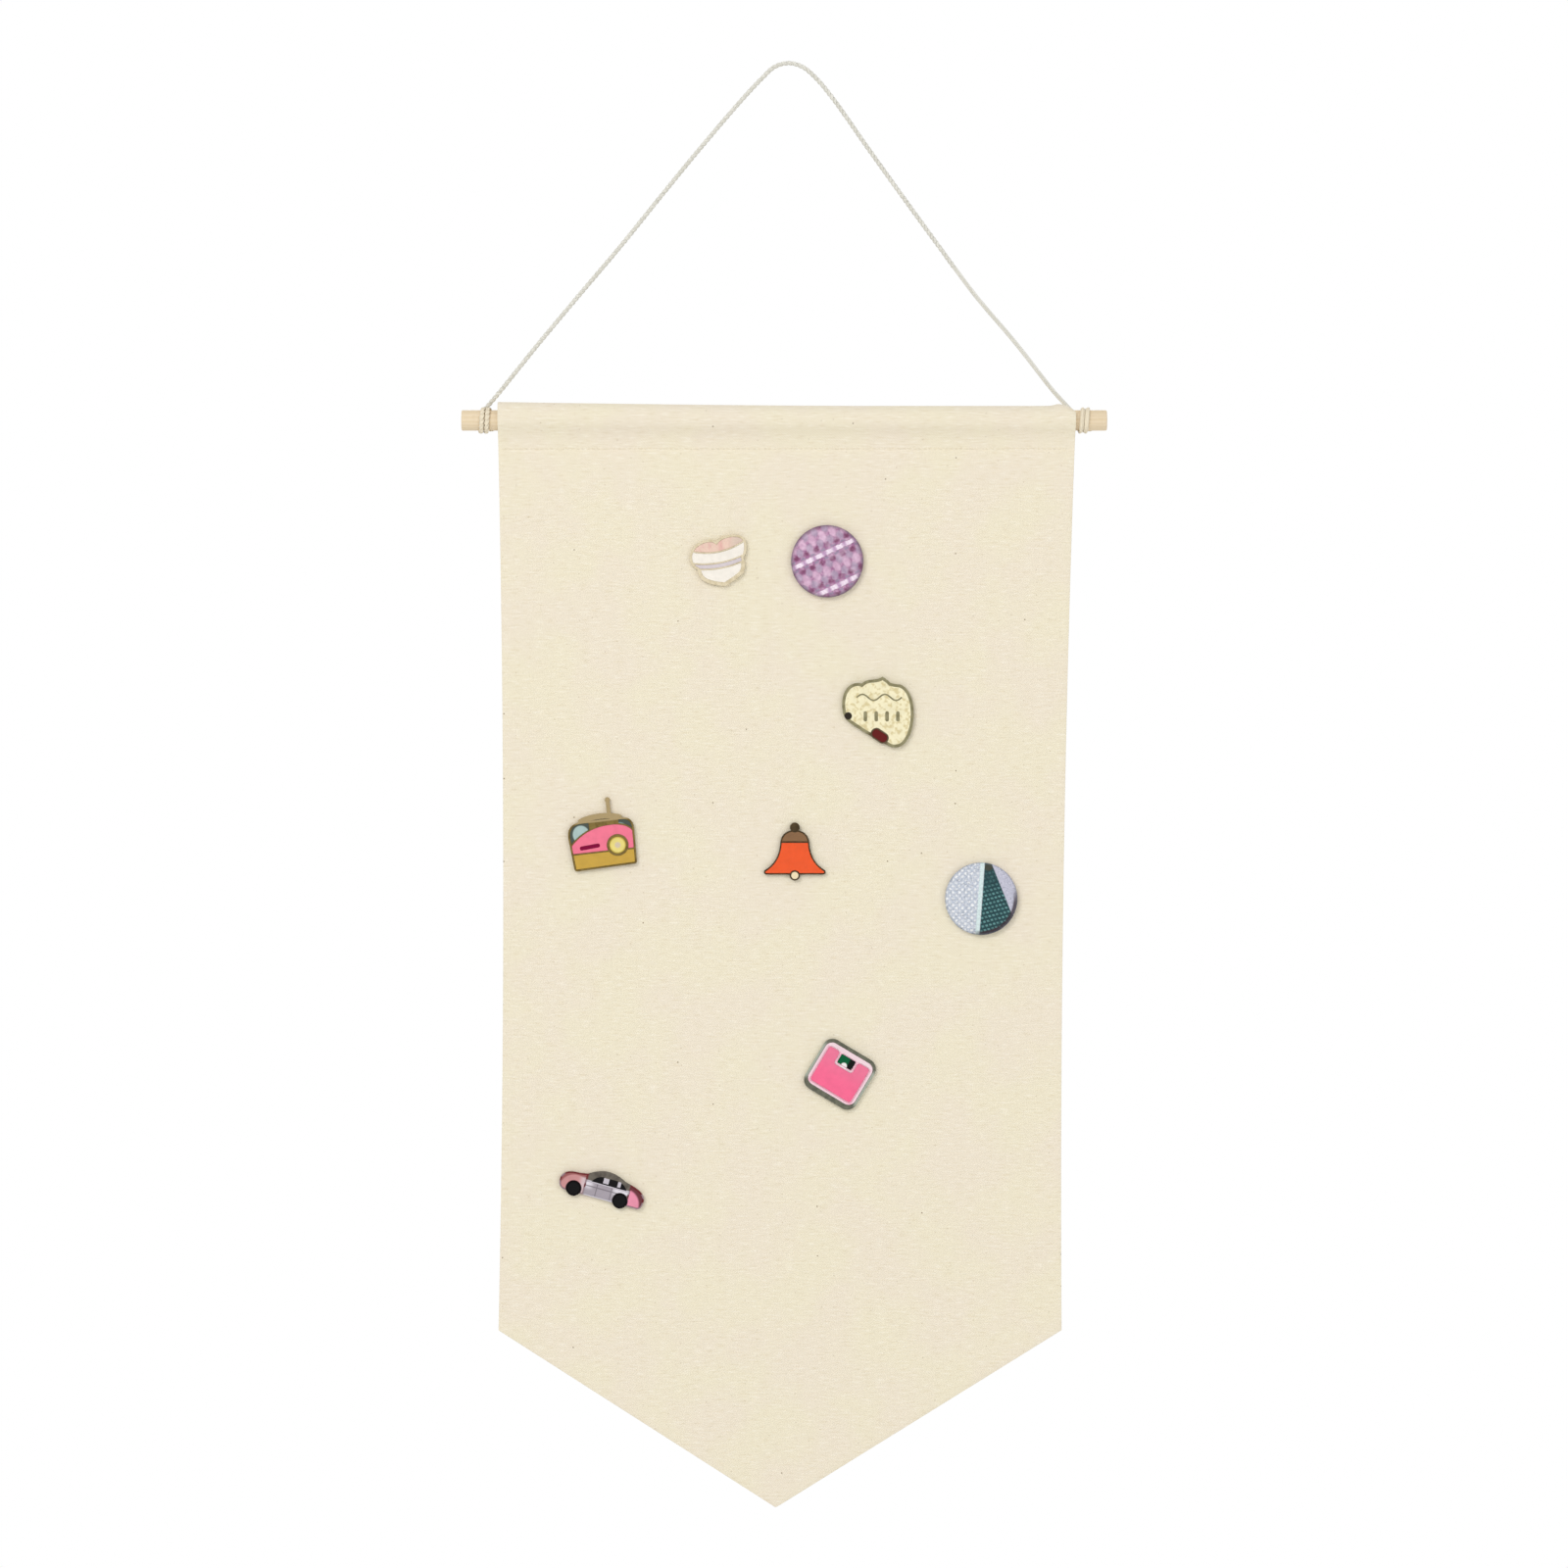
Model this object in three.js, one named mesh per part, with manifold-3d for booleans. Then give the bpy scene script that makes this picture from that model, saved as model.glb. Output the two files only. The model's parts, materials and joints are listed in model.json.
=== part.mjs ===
// Pin badge board: a canvas pennant sleeved on a dowel, hung by a cord, with eight pin badges.
// Millimetres. +Z is up and the front faces -Y. The origin is where the cord hangs on its nail.
import * as THREE from 'three';
import { mergeVertices } from 'three/addons/utils/BufferGeometryUtils.js';
import Module from 'manifold-3d';

const wasm = await Module();
wasm.setup();

// Dowel
const DOWEL_RADIUS = 4.75;
const DOWEL_DROP = 164.5; // from the hanging point down to the dowel's axis
const DOWEL_SHIFT = -2.6; // the board's middle, sideways from the hanging point
const DOWEL_EDGE = 0.6; // broken edge at each end
const BARE_END_LEFT = 7.4; // bare wood outside each winding
const BARE_END_RIGHT = 6.75;

// Cord and its windings
const CORD_RADIUS = 1.1;
const WINDING_TURNS = 2;
const WINDING_THICKNESS = 1.3; // the wound cord is pressed flat
const WINDING_WIDTH = 2.3;
const WINDING_SPACING = 0.1; // between neighbouring turns
const WINDING_FIT = 0.1; // clear of the dowel
const WINDING_START = 30; // degrees below the dowel's back, where the cord leaves it
const WINDING_GAP_LEFT = 2.3; // from the canvas to the nearest turn
const WINDING_GAP_RIGHT = 0.65;
const CORD_JOIN = 0.3; // between the ends of the span and of a winding
const SPAN_STEPS = 76;

// Canvas panels
const CLOTH = 0.7;
const LAYER_GAP = 0.3;
const SLEEVE_FIT = 0.3;
const SEAM_DROP = 13.2; // stitch line below the dowel's axis
const FLAP_TAIL = 8; // turned end of the sleeve, below the stitch line
const SHOULDER_DROP = 421.5;
const TIP_DROP = 503.7;
const TOP_HALF = 133.85; // half widths of the pennant
const WAIST_HALF = 129.8;
const SHOULDER_HALF = 130.4;
const TOP_CENTRE = 1.55; // the pennant leans a little to the left on its way down
const SHOULDER_CENTRE = -1.5;
const TIP_CENTRE = -3.5;

// Pins, posts and clutches
const SWEET_WIDTH = 27;
const BUBBLE_WIDTH = 33.2;
const RADIO_WIDTH = 30.8;
const BELL_WIDTH = 28.5;
const SCALE_WIDTH = 27.4;
const CAR_LENGTH = 40.4;
const PIN_THICKNESS = 1.5;
const PIN_FLOOR = 0.9; // metal under the enamel
const PIN_RIM = 0.6; // raised metal line round the enamel
const FILL_GAP = 0.1;
const FILL_SUNK = 0.12; // enamel below the metal lines
const SEAT = 0.3; // pin to canvas, and canvas to clutch
const POST_RADIUS = 0.6;
const POST_LENGTH = 8.6;
const POST_NOTCH = 0.12;
const HOLE_FIT = 0.3; // hole in the canvas round a post
const CLUTCH_FIT = 0.15; // hole in the clutch round a post
const CAP_RADIUS = 5.7;
const CAP_SHEET = 0.4;
const CAP_BOSS_RADIUS = 3.2;
const CAP_BOSS_HEIGHT = 2.0;
const WING_SPAN = 12.4; // across the tips
const WING_RISE = 4.4; // tips above the bridge
const WING_BRIDGE = 5.4; // across the bends
const WING_WIDTH = 5.0;
const WING_SHEET = 0.4;
const WING_FIT = 0.12; // bridge above the cap

// Cloth-covered buttons
const BUTTON_RADIUS = 16.75;
const BUTTON_SKIRT = 1.9; // height of the round edge
const BUTTON_RISE = 3.0; // crown above the edge
const BUTTON_COVER = 0.5;
const BUTTON_SHELL = 0.4;
const BUTTON_LIP = 2.2; // cover turned in at the back
const BUTTON_DISC = 0.6;
const BUTTON_FIT = 0.15;

// Sections of round pieces
const DOWEL_SEGMENTS = 28;
const BUTTON_SEGMENTS = 32;
const CAP_SEGMENTS = 16;
const POST_SEGMENTS = 10;
const HOLE_SEGMENTS = 10;
const CIRCLE_SEGMENTS = 18;
const CORNER_SEGMENTS = 4;
const CURVE_SEGMENTS = 5;

// Where the badges sit on the board, from the dowel's middle, and how they are turned (degrees)
const BADGES = {
  sweet: { x: -30.1, z: -64.5, tilt: 10, wings: 20 },
  tweed: { x: 20.3, z: -65.4, tilt: 0, wings: -35 },
  bubble: { x: 44.4, z: -135.8, tilt: 0, wings: 60 },
  radio: { x: -83.7, z: -196.2, tilt: 6.5, wings: 5 },
  bell: { x: 5.3, z: -199.4, tilt: 0, wings: -15 },
  knit: { x: 91.6, z: -221.6, tilt: 0, wings: 40 },
  scale: { x: 26.2, z: -302.9, tilt: -31, wings: 75 },
  car: { x: -84.2, z: -356.1, tilt: -15.5, wings: 25 },
};
const CAR_POST_OFFSET = 11.5; // the long pin has two posts
const POSTS = {
  car: [[-CAR_POST_OFFSET, 0], [CAR_POST_OFFSET, 0]],
};

// Places that follow from the sizes above
const LAYER_PITCH = CLOTH + LAYER_GAP;
const INNER_LAYER_RADIUS = DOWEL_RADIUS + SLEEVE_FIT + CLOTH / 2;
const OUTER_LAYER_RADIUS = INNER_LAYER_RADIUS + LAYER_PITCH;
const FRONT_LAYER_Y = -1.5 * LAYER_PITCH;
const LINING_LAYER_Y = -0.5 * LAYER_PITCH;
const CANVAS_FRONT_Y = FRONT_LAYER_Y - CLOTH / 2;
const CANVAS_THICKNESS = LAYER_PITCH + CLOTH;
const CLUTCH_SEAT = -(SEAT + CANVAS_THICKNESS + SEAT); // in a pin's own frame, behind the canvas
const WINDING_RADIUS = DOWEL_RADIUS + WINDING_FIT + WINDING_THICKNESS / 2;
const WINDING_PITCH = WINDING_WIDTH + WINDING_SPACING;
const WINDING_LENGTH = WINDING_TURNS * WINDING_PITCH;
const CANVAS_LEFT = TOP_CENTRE - TOP_HALF;
const CANVAS_RIGHT = TOP_CENTRE + TOP_HALF;
const LEFT_WINDING_X = CANVAS_LEFT - WINDING_GAP_LEFT - WINDING_WIDTH / 2 - WINDING_LENGTH;
const RIGHT_WINDING_X = CANVAS_RIGHT + WINDING_GAP_RIGHT + WINDING_WIDTH / 2;
const DOWEL_LEFT = LEFT_WINDING_X - WINDING_WIDTH / 2 - BARE_END_LEFT;
const DOWEL_RIGHT = RIGHT_WINDING_X + WINDING_LENGTH + WINDING_WIDTH / 2 + BARE_END_RIGHT;

// Axes for geometry that is drawn in a plane and given depth: the third axis is the depth
const FACING_FRONT = new THREE.Matrix4().makeBasis(
  new THREE.Vector3(1, 0, 0), new THREE.Vector3(0, 0, 1), new THREE.Vector3(0, -1, 0));
const SIDE_SECTION = new THREE.Matrix4().makeBasis(
  new THREE.Vector3(0, 1, 0), new THREE.Vector3(0, 0, 1), new THREE.Vector3(1, 0, 0));

const radians = THREE.MathUtils.degToRad;
const point = (x, y) => new THREE.Vector2(x, y);

// Booleans

function toManifold(geometry) {
  const bare = geometry.clone();
  bare.deleteAttribute('normal');
  bare.deleteAttribute('uv');
  const merged = mergeVertices(bare, 1e-4);
  const index = merged.index.array;
  const kept = [];
  for (let i = 0; i < index.length; i += 3) {
    const [a, b, c] = [index[i], index[i + 1], index[i + 2]];
    if (a !== b && b !== c && c !== a) kept.push(a, b, c);
  }
  return new wasm.Manifold(new wasm.Mesh({
    numProp: 3,
    vertProperties: new Float32Array(merged.attributes.position.array),
    triVerts: new Uint32Array(kept),
  }));
}

function toGeometry(solid) {
  const mesh = solid.getMesh();
  const geometry = new THREE.BufferGeometry();
  geometry.setAttribute('position', new THREE.BufferAttribute(mesh.vertProperties, 3));
  geometry.setIndex(new THREE.BufferAttribute(mesh.triVerts, 1));
  return geometry;
}

const join = (first, ...others) => others.reduce((sum, next) => sum.add(next), first);
const cut = (first, ...others) => others.reduce((rest, next) => rest.subtract(next), first);
const common = (first, ...others) => others.reduce((shared, next) => shared.intersect(next), first);

// Loops of points and the prisms made from them

function loopOf(shape) {
  const points = shape.getPoints(CURVE_SEGMENTS);
  if (points[0].distanceTo(points[points.length - 1]) < 1e-6) points.pop();
  return THREE.ShapeUtils.isClockWise(points) ? points.reverse() : points;
}

// Moves every side of a counter-clockwise loop inwards by a distance, or outwards if it is negative
function inset(loop, distance) {
  return loop.map((at, i) => {
    const before = loop[(i + loop.length - 1) % loop.length];
    const after = loop[(i + 1) % loop.length];
    const arriving = at.clone().sub(before).normalize();
    const leaving = after.clone().sub(at).normalize();
    const inwards = point(-arriving.y - leaving.y, arriving.x + leaving.x);
    const mitre = 1 + arriving.dot(leaving);
    return at.clone().addScaledVector(inwards, distance / mitre);
  });
}

function prism(loop, from, to) {
  const geometry = new THREE.ExtrudeGeometry(new THREE.Shape(loop), {
    depth: to - from, bevelEnabled: false,
  });
  return geometry.translate(0, 0, from);
}

const solidPrism = (loop, from, to) => toManifold(prism(loop, from, to));

// A flat ribbon of even width along an open line of points
function ribbon(line, width) {
  const side = (sign) => line.map((at, i) => {
    const arriving = at.clone().sub(line[Math.max(i - 1, 0)]).normalize();
    const leaving = line[Math.min(i + 1, line.length - 1)].clone().sub(at).normalize();
    if (i === 0) arriving.copy(leaving);
    if (i === line.length - 1) leaving.copy(arriving);
    const across = point(-arriving.y - leaving.y, arriving.x + leaving.x);
    const reach = sign * width / 2 / (1 + arriving.dot(leaving));
    return at.clone().addScaledVector(across, reach);
  });
  const loop = [...side(-1), ...side(1).reverse()];
  return THREE.ShapeUtils.isClockWise(loop) ? loop.reverse() : loop;
}

function rectangle(left, bottom, right, top) {
  return [point(left, bottom), point(right, bottom), point(right, top), point(left, top)];
}

// Points on an arc about (x, y), from one angle to another in radians
function arcLine(x, y, radius, from, to, steps) {
  const line = [];
  for (let i = 0; i <= steps; i += 1) {
    const angle = THREE.MathUtils.lerp(from, to, i / steps);
    line.push(point(x + radius * Math.cos(angle), y + radius * Math.sin(angle)));
  }
  return line;
}

function roundedRectangle(width, height, radius) {
  const [x, y] = [width / 2 - radius, height / 2 - radius];
  const quarter = Math.PI / 2;
  return [[x, y], [-x, y], [-x, -y], [x, -y]].flatMap(([cornerX, cornerY], i) => (
    arcLine(cornerX, cornerY, radius, i * quarter, (i + 1) * quarter, CORNER_SEGMENTS)
  ));
}

const moved = (loop, x, y) => loop.map((at) => at.clone().add(point(x, y)));

// A polygon with its corners rounded off
function roundedPolygon(corners, radius) {
  const shape = new THREE.Shape();
  corners.forEach((corner, i) => {
    const before = corners[(i + corners.length - 1) % corners.length];
    const after = corners[(i + 1) % corners.length];
    const from = before.clone().sub(corner).setLength(radius).add(corner);
    const to = after.clone().sub(corner).setLength(radius).add(corner);
    if (i === 0) shape.moveTo(from.x, from.y);
    else shape.lineTo(from.x, from.y);
    shape.quadraticCurveTo(corner.x, corner.y, to.x, to.y);
  });
  return loopOf(shape);
}

function circle(x, y, radius, steps = CIRCLE_SEGMENTS) {
  return arcLine(x, y, radius, 0, 2 * Math.PI, steps).slice(1);
}

function turned(loop, degrees, x = 0, y = 0) {
  const angle = radians(degrees);
  return loop.map((at) => at.clone().rotateAround(point(0, 0), angle).add(point(x, y)));
}

// Revolves a profile of [radius, height] points about the local Z axis
function revolve(profile, segments) {
  const points = profile.map(([radius, height]) => point(radius, height));
  return new THREE.LatheGeometry(points, segments).rotateX(Math.PI / 2);
}

// Named meshes

function finish(colour, roughness, metalness) {
  return { color: colour, roughness, metalness };
}

const FINISHES = {
  canvas: finish(0xf0e6ce, 0.95, 0),
  lining: finish(0xebe0c6, 0.95, 0),
  wood: finish(0xe9d4b0, 0.7, 0),
  cord: finish(0xdcd3b8, 0.95, 0),
  clutch: finish(0xcfae62, 0.32, 1),
  goldLine: finish(0xb79a5c, 0.35, 1),
  paleLine: finish(0xcdbb98, 0.4, 1),
  darkLine: finish(0x4d5352, 0.38, 1),
  brownLine: finish(0x6a5230, 0.4, 1),
  tin: finish(0xc4c6c8, 0.35, 1),
};

const enamel = (colour) => finish(colour, 0.22, 0);
const wovenCover = (colour) => finish(colour, 0.85, 0);

function piece(name, geometry, look) {
  const mesh = new THREE.Mesh(geometry, new THREE.MeshStandardMaterial(look));
  mesh.name = name;
  return mesh;
}

// Dowel: a round rod with broken edges, lying along X

function makeDowel() {
  const narrow = DOWEL_RADIUS - DOWEL_EDGE;
  const rod = revolve([
    [0, DOWEL_LEFT],
    [narrow, DOWEL_LEFT],
    [DOWEL_RADIUS, DOWEL_LEFT + DOWEL_EDGE],
    [DOWEL_RADIUS, DOWEL_RIGHT - DOWEL_EDGE],
    [narrow, DOWEL_RIGHT],
    [0, DOWEL_RIGHT],
  ], DOWEL_SEGMENTS);
  return piece('dowel', rod.rotateY(Math.PI / 2), FINISHES.wood);
}

// Cord: two windings on the dowel and the free span between them

// The path of one winding about the dowel's axis: a straight lead, the turns, and a straight tail.
// It goes down behind the dowel, under it, up its front and over it, and moves along +X.
class WindingPath extends THREE.Curve {
  constructor(startX) {
    super();
    this.startX = startX;
    this.lead = 2 * CORD_RADIUS;
    this.turnLength = Math.hypot(2 * Math.PI * WINDING_RADIUS, WINDING_PITCH);
    this.total = 2 * this.lead + WINDING_TURNS * this.turnLength;
  }

  onHelix(turns) {
    const angle = radians(WINDING_START) + 2 * Math.PI * turns;
    return new THREE.Vector3(
      this.startX + WINDING_PITCH * turns,
      WINDING_RADIUS * Math.cos(angle),
      -WINDING_RADIUS * Math.sin(angle),
    );
  }

  headingAt(turns) {
    const angle = radians(WINDING_START) + 2 * Math.PI * turns;
    const along = 2 * Math.PI * WINDING_RADIUS;
    return new THREE.Vector3(
      WINDING_PITCH, -along * Math.sin(angle), -along * Math.cos(angle)).normalize();
  }

  getPoint(t) {
    const travelled = t * this.total;
    const afterTurns = this.lead + WINDING_TURNS * this.turnLength;
    if (travelled < this.lead) {
      return this.onHelix(0).addScaledVector(this.headingAt(0), travelled - this.lead);
    }
    if (travelled > afterTurns) {
      const end = this.onHelix(WINDING_TURNS);
      return end.addScaledVector(this.headingAt(WINDING_TURNS), travelled - afterTurns);
    }
    return this.onHelix((travelled - this.lead) / this.turnLength);
  }

  // The normal points away from the dowel all along, so that a flat section lies on the dowel
  computeFrenetFrames(segments) {
    const frames = { tangents: [], normals: [], binormals: [] };
    for (let i = 0; i <= segments; i += 1) {
      const wound = (this.total * i / segments - this.lead) / this.turnLength;
      const turns = THREE.MathUtils.clamp(wound, 0, WINDING_TURNS);
      const angle = radians(WINDING_START) + 2 * Math.PI * turns;
      const tangent = this.headingAt(turns);
      const normal = new THREE.Vector3(0, Math.cos(angle), -Math.sin(angle));
      frames.tangents.push(tangent);
      frames.normals.push(normal);
      frames.binormals.push(tangent.clone().cross(normal));
    }
    return frames;
  }
}

// A tube along a path, whose section reaches so far along the path's normal and its binormal
function tube(path, steps, sides, alongNormal, alongBinormal) {
  const section = new THREE.Shape();
  for (let i = 0; i < sides; i += 1) {
    const angle = 2 * Math.PI * (i + 0.5) / sides;
    const corner = [alongNormal * Math.cos(angle), alongBinormal * Math.sin(angle)];
    if (i === 0) section.moveTo(...corner);
    else section.lineTo(...corner);
  }
  return new THREE.ExtrudeGeometry(section, { steps, extrudePath: path, curveSegments: 1 });
}

// Least clear space between one turn of a winding and another, measured on points along it
function leastGap(path) {
  const samples = 400;
  const points = path.getSpacedPoints(samples);
  const halfTurn = Math.round(samples * path.turnLength / 2 / path.total);
  let least = Infinity;
  for (let i = 0; i < points.length; i += 1) {
    for (let j = i + halfTurn; j < points.length; j += 1) {
      least = Math.min(least, points[i].distanceTo(points[j]));
    }
  }
  return least - WINDING_WIDTH;
}

function makeWinding(name, startX) {
  const path = new WindingPath(startX);
  const stepsPerTurn = 24;
  const sides = 6;
  console.log(`${name}: least gap between turns ${leastGap(path).toFixed(2)} mm`);
  const steps = WINDING_TURNS * stepsPerTurn + 2;
  const cornerReach = WINDING_THICKNESS / 2 / Math.cos(Math.PI / sides); // a flat side lies on the dowel
  return piece(name, tube(path, steps, sides, cornerReach, WINDING_WIDTH / 2), FINISHES.cord);
}

// The span's last straight run, from where it bends down to where it meets a winding's lead,
// seen from the hanging point
function spanEnd(startX) {
  const path = new WindingPath(startX);
  const heading = path.headingAt(0);
  const toBoard = new THREE.Vector3(DOWEL_SHIFT, 0, -DOWEL_DROP);
  return [CORD_JOIN + 2 * CORD_RADIUS, CORD_JOIN].map((before) => (
    path.getPoint(0).addScaledVector(heading, -before).add(toBoard)
  ));
}

// The free span's route, from the left winding over the nail to the right winding
function spanRoute() {
  const chosen = [
    [-143.3, 8.5, -161.6],
    [-142.0, 8.4, -159.6],
    [-139.6, 7.7, -157.0],
    [-134.7, 6.8, -151.3],
    [-116.3, 5.6, -128.6],
    [-97.2, 4.5, -105.9],
    [-77.9, 3.5, -83.2],
    [-59.5, 2.5, -60.5],
    [-40.7, 1.5, -37.7],
    [-21.1, 0.6, -15.0],
    [-12.5, 0.3, -5.9],
    [-6.6, 0.1, -0.6],
    [0.0, 0.0, 1.1],
    [6.4, 0.1, -0.7],
    [12.7, 0.3, -6.0],
    [20.2, 0.6, -15.0],
    [36.3, 1.5, -37.7],
    [52.7, 2.5, -60.5],
    [69.3, 3.5, -83.2],
    [86.1, 4.5, -105.9],
    [105.4, 5.7, -128.6],
    [122.6, 6.9, -150.4],
    [127.6, 7.7, -155.9],
    [131.0, 8.5, -159.4],
    [133.3, 8.7, -161.8],
  ];
  const points = chosen.map(([x, y, z]) => new THREE.Vector3(x, y, z));
  return [...spanEnd(LEFT_WINDING_X).reverse(), ...points, ...spanEnd(RIGHT_WINDING_X)];
}

function makeSpan() {
  const path = new THREE.CatmullRomCurve3(spanRoute(), false, 'centripetal');
  const sides = 8;
  console.log(`cord_span: length ${path.getLength().toFixed(0)} mm`);
  return piece('cord_span', tube(path, SPAN_STEPS, sides, CORD_RADIUS, CORD_RADIUS), FINISHES.cord);
}

// Canvas: each layer is a ribbon section that turns over the dowel, cut to the pennant's outline

// Half width and middle of the pennant at a share of the way from the dowel down to its shoulders
function pennantEdge(side, share) {
  const bow = 4 * share * (1 - share); // 0 at both ends, 1 in the middle
  const straightHalf = THREE.MathUtils.lerp(TOP_HALF, SHOULDER_HALF, share);
  const middleHalf = (TOP_HALF + SHOULDER_HALF) / 2;
  const half = straightHalf - bow * (middleHalf - WAIST_HALF);
  return THREE.MathUtils.lerp(TOP_CENTRE, SHOULDER_CENTRE, share) + side * half;
}

function pennantLoop() {
  const steps = 6;
  const top = 2 * OUTER_LAYER_RADIUS;
  const rightSide = [];
  const leftSide = [];
  for (let i = 0; i <= steps; i += 1) {
    const share = i / steps;
    const height = -share * SHOULDER_DROP;
    rightSide.push(point(pennantEdge(1, share), height));
    leftSide.push(point(pennantEdge(-1, share), height));
  }
  return [
    point(CANVAS_RIGHT, top),
    point(CANVAS_LEFT, top),
    ...leftSide,
    point(TIP_CENTRE, -TIP_DROP),
    ...rightSide.reverse(),
  ];
}

// Angle, from straight down, at which a line from a point on the seam touches the layer's circle
function tangentAngle(radius, seamY) {
  const reach = Math.hypot(seamY, SEAM_DROP);
  return Math.acos(radius / reach) + Math.atan2(Math.abs(seamY), SEAM_DROP);
}

// Section of one layer in the YZ plane: up the front, over the dowel and down the back to its tail
function layerLine(radius, frontY) {
  const arcSteps = 18;
  const frontAngle = tangentAngle(radius, frontY);
  const line = [point(frontY, -TIP_DROP - CLOTH), point(frontY, -SEAM_DROP)];
  for (let i = 0; i <= arcSteps; i += 1) {
    const angle = THREE.MathUtils.lerp(frontAngle, 2 * Math.PI - frontAngle, i / arcSteps);
    line.push(point(-radius * Math.sin(angle), -radius * Math.cos(angle)));
  }
  line.push(point(-frontY, -SEAM_DROP), point(-frontY, -SEAM_DROP - FLAP_TAIL));
  return line;
}

function postPlaces() {
  return Object.entries(BADGES).flatMap(([name, badge]) => (
    (POSTS[name] ?? [[0, 0]]).map(([x, y]) => (
      point(x, y).rotateAround(point(0, 0), radians(badge.tilt)).add(point(badge.x, badge.z))
    ))
  ));
}

function makePanel(name, radius, layerY, look) {
  const section = prism(ribbon(layerLine(radius, layerY), CLOTH), 2 * CANVAS_LEFT, 2 * CANVAS_RIGHT);
  const depth = 4 * OUTER_LAYER_RADIUS;
  const outline = prism(pennantLoop(), -depth, depth);
  const holes = postPlaces().map((at) => (
    toManifold(prism(circle(at.x, at.y, POST_RADIUS + HOLE_FIT, HOLE_SEGMENTS), -depth, depth)
      .applyMatrix4(FACING_FRONT))
  ));
  const sheet = common(
    toManifold(section.applyMatrix4(SIDE_SECTION)),
    toManifold(outline.applyMatrix4(FACING_FRONT)),
  );
  return piece(name, toGeometry(cut(sheet, ...holes)), look);
}

// Posts and butterfly clutches, in a pin's own frame: +Z towards the viewer, the pin's back at 0

function makePost() {
  const waist = POST_RADIUS - POST_NOTCH;
  const tip = 1.6;
  const notchTop = -POST_LENGTH + 2.4;
  return revolve([
    [0, -POST_LENGTH],
    [POST_RADIUS / 4, -POST_LENGTH],
    [POST_RADIUS, -POST_LENGTH + tip],
    [waist, notchTop],
    [POST_RADIUS, notchTop + 0.5],
    [POST_RADIUS, PIN_FLOOR / 2],
    [0, PIN_FLOOR / 2],
  ], POST_SEGMENTS);
}

// Pressed cap: a flange with a rolled rim and a hollow boss in its middle, open towards the canvas
function makeCap(name) {
  const bore = POST_RADIUS + CLUTCH_FIT;
  const wall = CAP_BOSS_RADIUS - CAP_SHEET;
  const roof = CAP_BOSS_HEIGHT - CAP_SHEET;
  const profile = [
    [bore, roof],
    [wall - 0.3, roof],
    [wall + 0.2, 0],
    [CAP_RADIUS - 0.3, 0],
    [CAP_RADIUS, 0.4],
    [CAP_RADIUS - 0.2, 0.8],
    [CAP_RADIUS - 0.6, CAP_SHEET],
    [CAP_BOSS_RADIUS + 0.2, CAP_SHEET],
    [CAP_BOSS_RADIUS - 0.4, CAP_BOSS_HEIGHT],
    [bore, CAP_BOSS_HEIGHT],
    [bore, roof],
  ];
  return piece(name, revolve(profile, CAP_SEGMENTS), FINISHES.clutch);
}

// Spring strip: a bridge over the cap's boss with two wings bent up from it, round at their tips
function makeWings(name) {
  const bridge = CAP_BOSS_HEIGHT + WING_FIT + WING_SHEET / 2;
  const [bend, tip] = [WING_BRIDGE / 2, WING_SPAN / 2];
  const wing = (side) => [
    point(side * bend, bridge),
    point(side * (bend + 0.7), bridge + 0.5),
    point(side * (tip - 1.0), bridge + 0.55 * WING_RISE),
    point(side * tip, bridge + WING_RISE),
  ];
  const line = [...wing(-1).reverse(), ...wing(1)];
  const half = WING_WIDTH / 2;
  const strip = toManifold(prism(ribbon(line, WING_SHEET), -half, half).rotateX(Math.PI / 2));
  const top = bridge + WING_RISE + WING_SHEET;
  const neck = 0.7 * half;
  const ear = [
    point(-neck, 0),
    point(neck, 0),
    point(half, bridge + 0.3 * WING_RISE),
    ...arcLine(0, top - half, half, 0, Math.PI, 2 * CORNER_SEGMENTS),
    point(-half, bridge + 0.3 * WING_RISE),
  ];
  const earSides = prism(ear, -WING_SPAN, WING_SPAN).applyMatrix4(SIDE_SECTION);
  const bore = solidPrism(circle(0, 0, POST_RADIUS + CLUTCH_FIT, HOLE_SEGMENTS), 0, 2 * bridge);
  const wings = cut(common(strip, toManifold(earSides)), bore);
  return piece(name, toGeometry(wings), FINISHES.clutch);
}

// A clutch faces away from the viewer, so its group turns its pieces round
function makeClutch(name, x, y, wingsAngle) {
  const clutch = new THREE.Group();
  clutch.add(makeCap(`${name}_clutch_cap`), makeWings(`${name}_clutch_wings`));
  clutch.position.set(x, y, CLUTCH_SEAT);
  clutch.rotation.set(Math.PI, 0, radians(wingsAngle));
  return clutch;
}

// Enamel pins: a struck metal back with pockets, and one fill of enamel in each pocket

// A cell of enamel is the space inside all of its "inside" loops and outside all of its "around" ones
function cellSolid({ inside, around }, shrink, from, to) {
  const walls = inside.map((loop) => solidPrism(inset(loop, shrink), from, to));
  const islands = around.map((loop) => solidPrism(inset(loop, -shrink), from - 1, to + 1));
  return cut(common(...walls), ...islands);
}

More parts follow.
